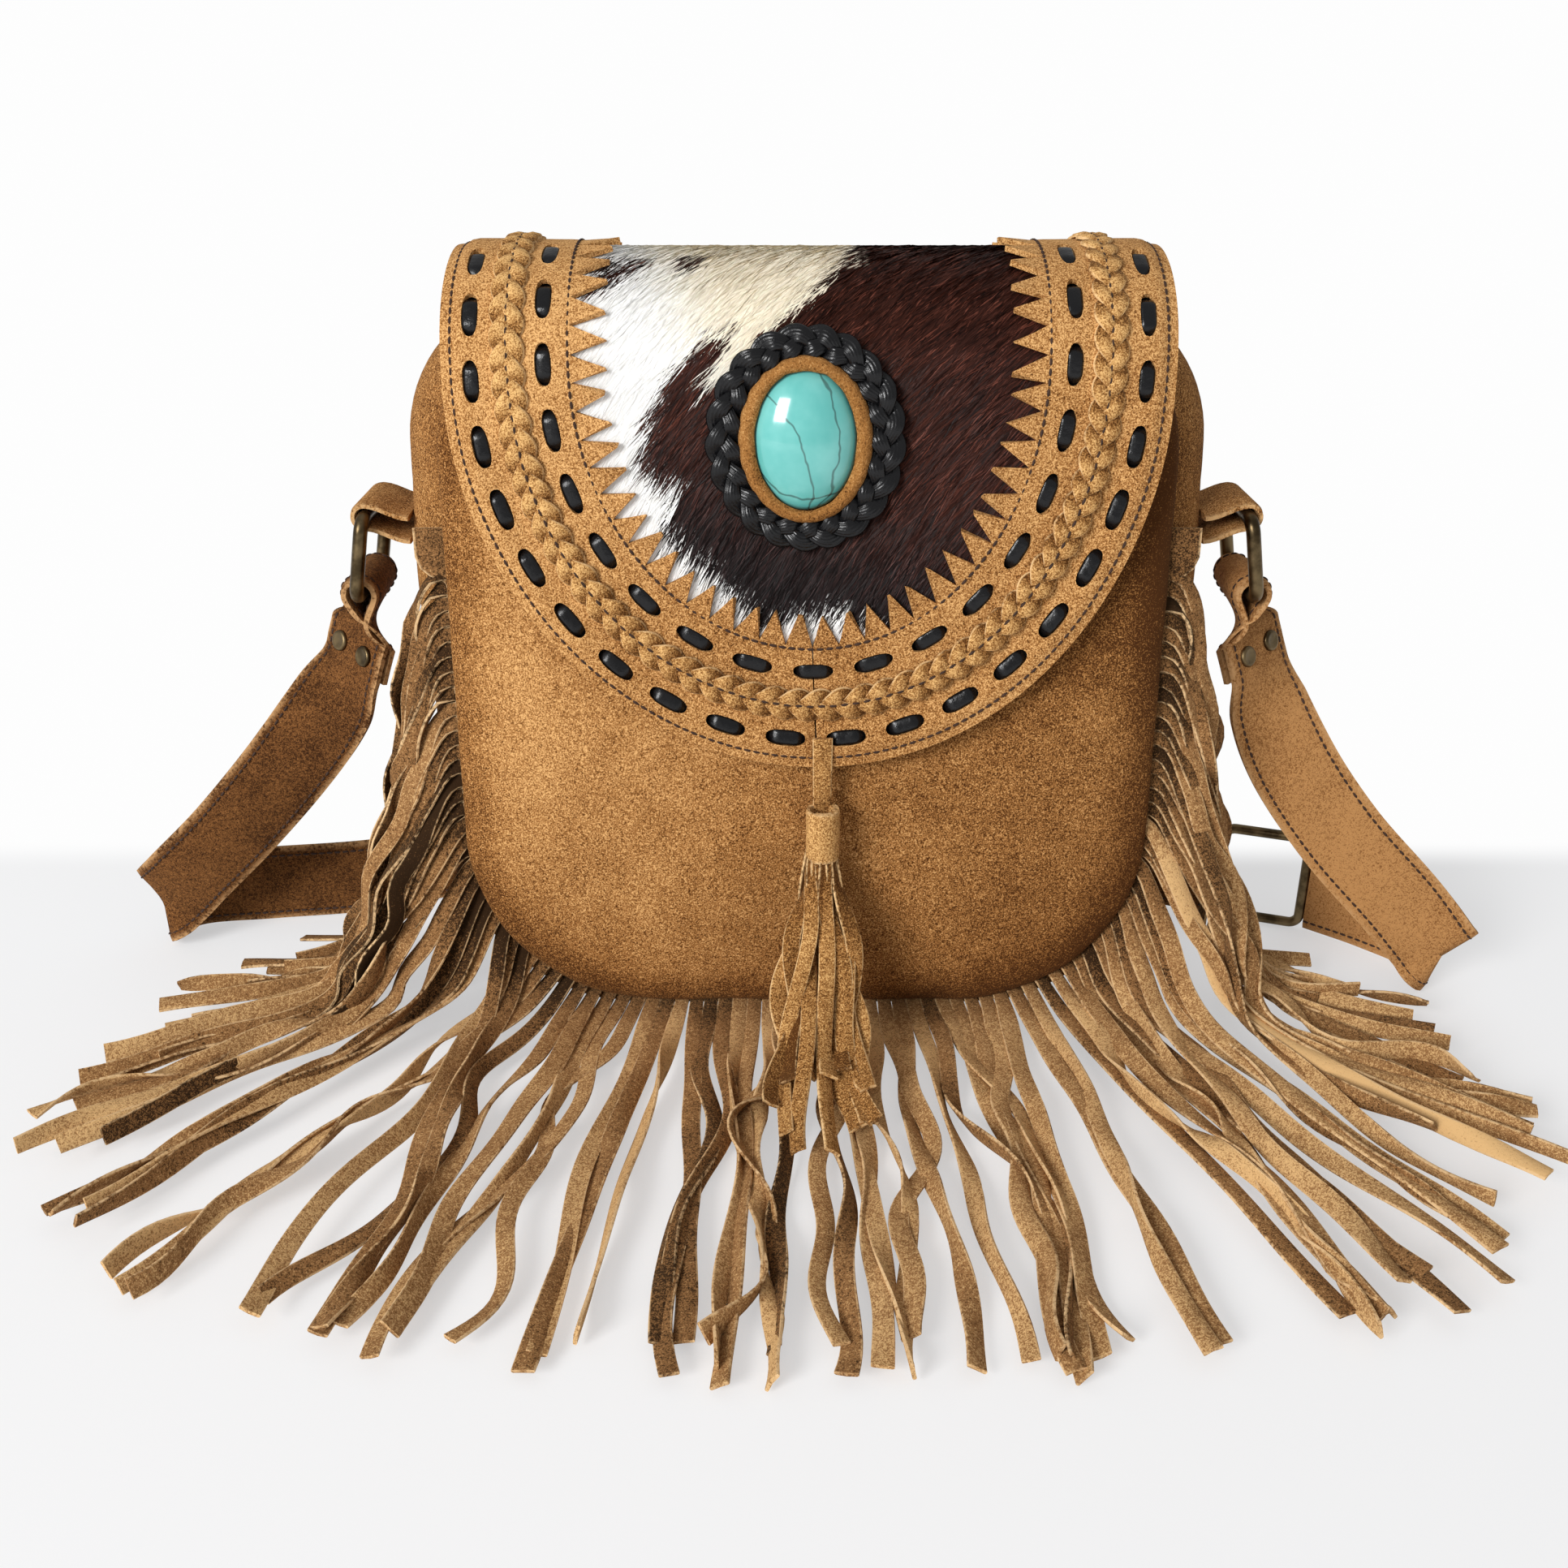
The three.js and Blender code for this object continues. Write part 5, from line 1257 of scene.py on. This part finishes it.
for side, name in SIDES:
    top, down = ring_frame(side)
    loop = wire_loop(f"wire_ring_{name}", RING_INNER_WIDTH, RING_INNER_HEIGHT, RING_WIRE)
    set_in_place(loop, top + down * RING_DROP / 2, (0, 1, 0), down)
    give(loop, f"{name}_ring", "aged_brass", [f"ring_{name}"], brass)
    bow = np.linspace(-0.5, 0.5, BOW_STEPS) * np.pi
    reach, sewn = LOOP_RADIUS + TAB / 2, HALF_WIDTH + SIDE_BULGE - TAB_SEWN
    line_x = np.concatenate([np.linspace(sewn, RING_X - 0.5, TAB_STEPS), RING_X + reach * np.cos(bow),
                             np.linspace(RING_X - 0.5, sewn, TAB_STEPS)])
    line_z = np.concatenate([np.full(TAB_STEPS, -reach), reach * np.sin(bow), np.full(TAB_STEPS, reach)])
    tab_line = spots(side * line_x, 0, RING_HEIGHT + line_z - TAB_DIP * ease(RING_X, sewn, line_x))
    tab = ribbon(tab_line, np.tile([0, 1.0, 0], (len(tab_line), 1)), TAB_WIDTH, TAB)
    give(ribbon_piece(f"tab_loop_{name}", [tab]), "bag", "suede_tan", [f"tab_{name}"], suede_tan)

# %% [markdown]
# A strap is folded round the lower bar of each ring. The left one falls to the ground and runs behind the
# bag to a buckle on the right. A rope simulation could find such a lie, but not this one. So the route is a
# row of chosen points, each with its place out from the ring, its depth, its height and the way its width
# points.

# %% Strap routes
STRAP_WIDTH, STRAP, FOLD_GAP, STRAP_PLAY = 29, 2.6, 0.4, 0.9
ABOVE_GROUND, BEHIND_BACK = 1, 4
REST = STRAP_WIDTH / 2 + ABOVE_GROUND
BEHIND = BASE_DEPTH / 2 + BACK_BULGE + BEHIND_BACK
BUCKLE_X, BUCKLE_NEAR, BUCKLE_FAR, BUCKLE_GAP = 168, 16, 27, 16
ALONG_BAR, AT_RIVET, EDGE_ON = (.12, -1, -.05), (.62, -.66, -.42), (0, 0, -1)
near_ring = [(7, 0, 129, ALONG_BAR), (9, -1, 122, AT_RIVET), (11, -1.5, 116, AT_RIVET),
             (13, -2, 110, AT_RIVET)]
ROUTES = {
    "left": [*near_ring, (20, -3, 98, (.7, -.3, -.64)), (36, -4, 77, (.74, .1, -.64)),
             (60, -2, 50, (.74, .2, -.64)), (83, 2, 27, (.6, .15, -.78)), (93, 9, REST, (.2, 0, -1)),
             (86, 18, REST, EDGE_ON), (60, 23, REST, EDGE_ON), (20, 30, REST, EDGE_ON),
             (-18, BEHIND - 3, REST, EDGE_ON), (-60, BEHIND, REST, EDGE_ON), (-RING_X, BEHIND, REST, EDGE_ON),
             (40 - 2 * RING_X, BEHIND - 3, REST, EDGE_ON),
             (BUCKLE_GAP - RING_X - BUCKLE_X, BUCKLE_FAR, REST, EDGE_ON)],
    "right": [*near_ring, (17, -4, 97, (.7, -.4, -.6)), (27, -8, 77, (.74, -.1, -.62)),
              (44, -14, 54, (.76, 0, -.62)), (66, -23, 31, (.74, 0, -.66)), (79, -27, REST, (.35, .2, -.92)),
              (78, -15, REST, EDGE_ON), (64, 2, REST, EDGE_ON),
              (BUCKLE_X + BUCKLE_GAP - RING_X, BUCKLE_NEAR, REST, EDGE_ON)],
}
print({name: len(route) for name, route in ROUTES.items()}, "points in the routes")

# %% [markdown]
# A smooth curve goes through those points. A bevelled curve object could follow it, but its twist is hard
# to steer. Here the width direction is a second curve, kept square to the first. The short end that is
# folded back behind the ring follows the same curve, one strap's thickness further in.

# %% Strap lines
RIVET_STEP, STRAP_STEPS, NUDGE, NEAR_START = 3, 12, 1e-3, 0.004
FOLD_TURNS = np.array([1, .75, .5, .25]) * math.pi
FOLD_HOLD = LOOP_RADIUS + STRAP_PLAY + STRAP / 2
strap_lines, rivet_seats = {}, {}


def strap_frame(points, widths, shares):
    """Line, width direction and upward direction of a strap at shares of its route."""
    along = unit(through(points, shares + NUDGE) - through(points, shares - NUDGE))
    across = square(through(widths, shares), along)
    return through(points, shares), across, np.cross(along, across)


for side, name in SIDES:
    top, down = ring_frame(side)
    bar, route = top + down * RING_DROP, ROUTES[name]
    points = [bar + [side * FOLD_HOLD, 0, 0], *((side * (RING_X + r[0]), r[1], r[2]) for r in route)]
    widths = [(0, -1, 0), *((-side * r[3][0], r[3][1], r[3][2]) for r in route)]
    tail = np.array([RIVET_STEP + 1, RIVET_STEP, RIVET_STEP - 1, 1]) / len(route)
    tail_line, tail_across, tail_up = strap_frame(points, widths, tail)
    start_up = strap_frame(points, widths, np.array([NEAR_START]))[2][0]
    inward = np.sign(-side * start_up[0])
    behind = tail_line + tail_up * inward * (STRAP + FOLD_GAP)
    eye = [bar + [side * FOLD_HOLD * math.cos(a), 0, FOLD_HOLD * math.sin(a)] for a in FOLD_TURNS]
    folded = np.vstack([behind, eye, points])
    folded_wide = np.vstack([tail_across, np.tile([0, -1, 0], (len(eye), 1)), widths])
    shares = np.linspace(0, 1, STRAP_STEPS * (len(folded) - 1) + 1)
    strap_lines[name] = strap_frame(folded, folded_wide, shares)
    seat, seat_across, seat_up = strap_frame(points, widths, np.array([RIVET_STEP / len(route)]))
    rivet_seats[name] = seat[0], seat_across[0], seat_up[0] * inward
    strap_length = np.linalg.norm(np.diff(strap_lines[name][0], axis=0), axis=1).sum()
    print(name, "strap", round(strap_length), "mm with its fold")

# %% [markdown]
# Two rivets hold each fold. A rivet could be turned as a profile, but a cylinder is quicker: each end is
# extruded, widened to a cap, rounded by a bevel and dished by an inset, as in hand modelling. The one model
# is then copied to its four seats.

# %% Rivets
RIVET_RADIUS, RIVET_CAP, RIVET_SHANK, RIVET_GAP, RIVET_SPACING = 3.5, 1.2, 1.4, 0.15, 13
RIVET_GRIP = 2 * STRAP + FOLD_GAP + 2 * RIVET_GAP
CAP_WIDER, CAP_ROUND, DISH_RIM, DISH_DEPTH = RIVET_RADIUS / RIVET_SHANK, 0.8, 0.5, 0.15


def select_end(obj, way):
    """Selects the face at one end of a piece in edit mode."""
    bpy.ops.mesh.select_mode(type="FACE")
    bpy.ops.mesh.select_all(action="DESELECT")
    faces = bmesh.from_edit_mesh(obj.data).faces
    max(faces, key=lambda face: way * face.calc_center_median().z).select_set(True)
    bmesh.update_edit_mesh(obj.data)


def extrude_up(lift):
    bpy.ops.mesh.extrude_region_move(TRANSFORM_OT_translate={"value": (0, 0, lift)})


rivet_model = open_up(primitive("rivet_model", bpy.ops.mesh.primitive_cylinder_add, vertices=28,
                                radius=RIVET_SHANK * MM, depth=RIVET_GRIP * MM))
for way in (-1, 1):
    select_end(rivet_model, way)
    extrude_up(0)
    bpy.ops.transform.resize(value=(CAP_WIDER, CAP_WIDER, 1),
                             center_override=(0, 0, way * RIVET_GRIP / 2 * MM))
    extrude_up(way * RIVET_CAP * MM)
    bpy.ops.mesh.bevel(offset=CAP_ROUND * RIVET_CAP * MM, segments=5, affect="EDGES")
    select_end(rivet_model, way)
    bpy.ops.mesh.inset(thickness=DISH_RIM * MM, depth=-DISH_DEPTH * MM)
bpy.ops.object.mode_set(mode="OBJECT")
for side, name in SIDES:
    seat, seat_across, inwards = rivet_seats[name]
    for number, hand in ((1, -1), (2, 1)):
        rivet = bpy.data.objects.new(f"stud_{name}_{number}", rivet_model.data.copy())
        bpy.context.collection.objects.link(rivet)
        middle = seat + seat_across * hand * RIVET_SPACING / 2 + inwards * (STRAP + FOLD_GAP) / 2
        set_in_place(rivet, middle, seat_across, np.cross(inwards, seat_across))
        give(rivet, f"{name}_ring", "aged_brass", [f"rivet_{name}_{number}"], brass)
bpy.data.objects.remove(rivet_model)

# %% [markdown]
# Behind the bag a buckle frame joins the two straps. It is bent from wire as the rings are, so it could be
# a copy of a ring, but it is wider than high. The same function makes it from its own sizes, and it is
# turned to lie in line with both strap ends.

# %% Buckle
BUCKLE_OPENING, BUCKLE_WIRE = 31, 3.6
BUCKLE_STEP = BUCKLE_FAR - BUCKLE_NEAR
slope = math.atan2(BUCKLE_STEP, -2 * BUCKLE_GAP)
buckle_middle = (BUCKLE_X, (BUCKLE_FAR + BUCKLE_NEAR) / 2, BUCKLE_OPENING / 2 + BUCKLE_WIRE + CLEARANCE)
buckle_width = 2 * (math.hypot(BUCKLE_GAP, BUCKLE_STEP / 2) - BUCKLE_WIRE - CLEARANCE)
buckle = wire_loop("buckle_frame", buckle_width, BUCKLE_OPENING, BUCKLE_WIRE)
set_in_place(buckle, buckle_middle, (math.cos(slope), math.sin(slope), 0), (0, 0, 1))
give(buckle, "bag", "aged_brass", ["strap_buckle"], brass)

# %% [markdown]
# Dark thread holds the pieces together. A bump line could stand for a seam, but stitches catch the light
# one by one. So one stitch is a small bead of thread, a sphere that is stretched along the seam, and copies
# of its points are set at even steps along each line.

# %% Stitches on the flap
STITCH_PITCH, STITCH_LENGTH, STITCH_WIDTH, STITCH_LIFT, BRAID_PITCH = 2.8, 2.3, 0.95, 0.15, 3.4
SEAM_STEP, SEAM_END, STITCH_REACH = 1.0, 2, 0.4
bead = primitive("bead", bpy.ops.mesh.primitive_uv_sphere_add, segments=6, ring_count=5, radius=0.5)
bead_points, bead_faces = points_of(bead), [list(f.vertices) for f in bead.data.polygons]
bpy.data.objects.remove(bead)


def stitches(line, up, pitch=STITCH_PITCH):
    """Beads of thread at even steps along a line that lies on a surface."""
    run = np.concatenate([[0], np.cumsum(np.linalg.norm(np.diff(line, axis=0), axis=1))])
    at = np.arange(pitch / 2, run[-1], pitch)

    def sample(values, place):
        return np.stack([np.interp(place, run, column) for column in values.T], axis=1)

    along = unit(sample(line, at + STITCH_REACH) - sample(line, at - STITCH_REACH))
    rise = unit(sample(up, at))
    body = (sample(line, at)[:, None] + bead_points[None, :, 2:] * STITCH_LENGTH * along[:, None]
            + bead_points[None, :, :1] * STITCH_WIDTH * np.cross(rise, along)[:, None]
            + bead_points[None, :, 1:2] * STITCH_WIDTH * rise[:, None])
    count = len(bead_points)
    faces = [[k + n * count for k in f] for n in range(len(at)) for f in bead_faces]
    return body.reshape(-1, 3), faces


def rail_stitches(inset):
    top = float(border_top(np.array(inset))) + STITCH_LIFT
    end = rail_lengths(inset)[-1] - SEAM_END
    run = np.arange(-end, end, SEAM_STEP) + 1e-3
    line = rail(inset, run, inset, top)
    return stitches(line, rail(inset, run, inset, top + 1) - line)


braid_run = np.arange(SEAM_END, 2 * BRAID_HALF - SEAM_END, SEAM_STEP)
braid_lift = BRAID_THICK / 2 + 0.5 * BRAID_WEAVE
braid_line = braid_path(braid_run, 0, braid_lift)
braid_up = braid_path(braid_run, 0, braid_lift + 1) - braid_line
flap_thread = gather([rail_stitches(STITCH_INSET), rail_stitches(TOOTH_SEAM),
                      stitches(braid_line, braid_up, BRAID_PITCH)])
give(tidy(mesh_of("flap_thread", *flap_thread)), "flap", "suede_dark", [], sewing_thread)

# %% [markdown]
# Each strap is sewn along both edges, on both faces, and it hangs between its ring and the ground. It could
# be cut in two at the ring, but leather doesn't open there, so each strap stays whole. The strap and its
# thread are tied to no moving body. Two heights for a bend are set out, but nothing uses them.

# %% Straps and their thread
STRAP_INSET, BEND_LOW, BEND_HIGH = 3, 32, 106
EDGE_STITCH = STRAP_WIDTH / 2 - STRAP_INSET
# Painted shade darkens the left strap and painted light brightens the right one.
STRAP_SHADE, PAINTED_STRAP_SHADING = 0.1, 0.5
for side, name in SIDES:
    line, across, up = strap_lines[name]
    body = ribbon(line, across, STRAP_WIDTH, STRAP)
    strap = ribbon_piece(f"strap_band_{name}", [body], [STRAP_SHADE + PAINTED_STRAP_SHADING * side])
    seams = [stitches(line + across * hand * EDGE_STITCH + up * face * STRAP / 2, up * face)
             for hand in (-1, 1) for face in (-1, 1)]
    strap_thread = tidy(mesh_of(f"strap_thread_{name}", *gather(seams)))
    bend_low, bend_high = (side * RING_X * MM, 0, BEND_LOW * MM), (side * RING_X * MM, 0, BEND_HIGH * MM)
    give(strap, None, "suede_dark", [f"strap_{name}"], suede_strap)
    give(strap_thread, None, "suede_dark", [], sewing_thread)
    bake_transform(strap)
    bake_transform(strap_thread)

# %% [markdown]
# The tassel goes on hanging when the flap turns up. The thong could ride on the flap alone, but then it
# would part from the tassel. Here it is tied to no moving body: the place of the tassel's joint is worked
# out, but nothing bends the thong round it.

# %% The thong
SWING_DROP, BEND_ABOVE, BEND_BELOW = 8.4, 0.003, 0.006
give(thong, None, "suede_gold", ["tassel_thong"], suede_gold)
swing_x, swing_y, swing_z = thong_top[0] * MM, thong_top[1] * MM, (thong_top[2] - SWING_DROP) * MM
swing_z + BEND_ABOVE
swing_z - BEND_BELOW
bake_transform(thong)

# %% [markdown]
# The bag stands on a white floor before a white wall. A modelled wall would only catch shadows that aren't
# wanted, so the floor turns wall white behind the bag. It glows a little where the camera sees it, as
# bright paper does in a picture, but takes soft shadows near the bag.

# %% Floor
FLOOR_HALF, WALL_LINE, LINE_BLUR, NEAR_SHARE = 2500, 62, 25, 0.5
FLOOR_PAINT, NEAR_WHITE, FAR_WHITE = (0.95, 0.95, 0.955, 1), (0.985, 0.99, 1, 1), (0.985, 0.985, 0.985, 1)
floor = mesh_of("floor", spots([-1, 1, 1, -1], [-1, -1, 1, 1], 0) * FLOOR_HALF, [(0, 1, 2, 3)])
white_floor = Finish("white_floor")
white_floor.set(Base_Color=FLOOR_PAINT, Roughness=0.9, Specular_IOR_Level=0.1)
deep = white_floor.node("ShaderNodeSeparateXYZ", {}, {0: white_floor.place()}, "Y")
far = white_floor.between(deep, WALL_LINE * MM, (WALL_LINE + LINE_BLUR) * MM)
seen = white_floor.node("ShaderNodeLightPath", {}, {}, "Is Camera Ray")
for kind in ("Is Glossy Ray", "Is Transmission Ray"):
    seen = seen + white_floor.node("ShaderNodeLightPath", {}, {}, kind)
glow = white_floor.node("ShaderNodeEmission", {}, {"Color": white_floor.blend(far, NEAR_WHITE, FAR_WHITE)})
glow_share = seen * (far * (1 - NEAR_SHARE) + NEAR_SHARE)
paint = Value(white_floor, white_floor.shader.outputs[0])
surface = white_floor.node("ShaderNodeMixShader", {}, {0: glow_share, 1: paint, 2: glow})
white_floor.feed(white_floor.tree.nodes["Material Output"].inputs["Surface"], surface)
floor.data.materials.append(white_floor.material)
print("floor", 2 * FLOOR_HALF * MM, "m wide")

# %% [markdown]
# One large soft light comes from the left, as from a window, and the even light of the world fills the
# shadows. Three lamps could do it too, but they would give three shadows. The world shows white to the
# camera and is less bright to everything else. The camera stands where a camera that was fitted to the
# photo stood, and all of it is sharp.

# %% Light and camera
KEY_PLACE, KEY_AIM = Vector((-1.75, -2.2, 1.35)), Vector((0, 0, 0.1))
KEY_SIZE, KEY_POWER, ROOM_LIGHT = 1.2, 84, 0.44
CAMERA_PLACE, CAMERA_TILT, CAMERA_LENS, SENSOR = (-0.007, -0.486, 0.293), math.radians(65), 36.09, 36
bpy.ops.object.light_add(type="AREA", location=KEY_PLACE)
key = bpy.context.object
key.data.shape, key.data.size, key.data.energy = "SQUARE", KEY_SIZE, KEY_POWER
key.rotation_euler = (KEY_AIM - KEY_PLACE).to_track_quat("-Z", "Y").to_euler()

world = bpy.data.worlds.new("white_room")
bpy.context.scene.world = world
world.use_nodes = True
nodes, links = world.node_tree.nodes, world.node_tree.links
room, backdrop = nodes["Background"], nodes.new("ShaderNodeBackground")
room.inputs["Color"].default_value, room.inputs["Strength"].default_value = (1, 1, 1, 1), ROOM_LIGHT
backdrop.inputs["Color"].default_value = FAR_WHITE
either = nodes.new("ShaderNodeMixShader")
links.new(nodes.new("ShaderNodeLightPath").outputs["Is Camera Ray"], either.inputs[0])
links.new(room.outputs[0], either.inputs[1])
links.new(backdrop.outputs[0], either.inputs[2])
links.new(either.outputs[0], nodes["World Output"].inputs["Surface"])

bpy.ops.object.camera_add(location=CAMERA_PLACE, rotation=(CAMERA_TILT, 0, 0))
camera = bpy.context.object
camera.data.lens, camera.data.sensor_width = CAMERA_LENS, SENSOR
camera.data.dof.use_dof = False
bpy.context.scene.camera = camera
bpy.context.scene.view_settings.view_transform = "Standard"
print("light", KEY_POWER, "W, camera", CAMERA_LENS, "mm")
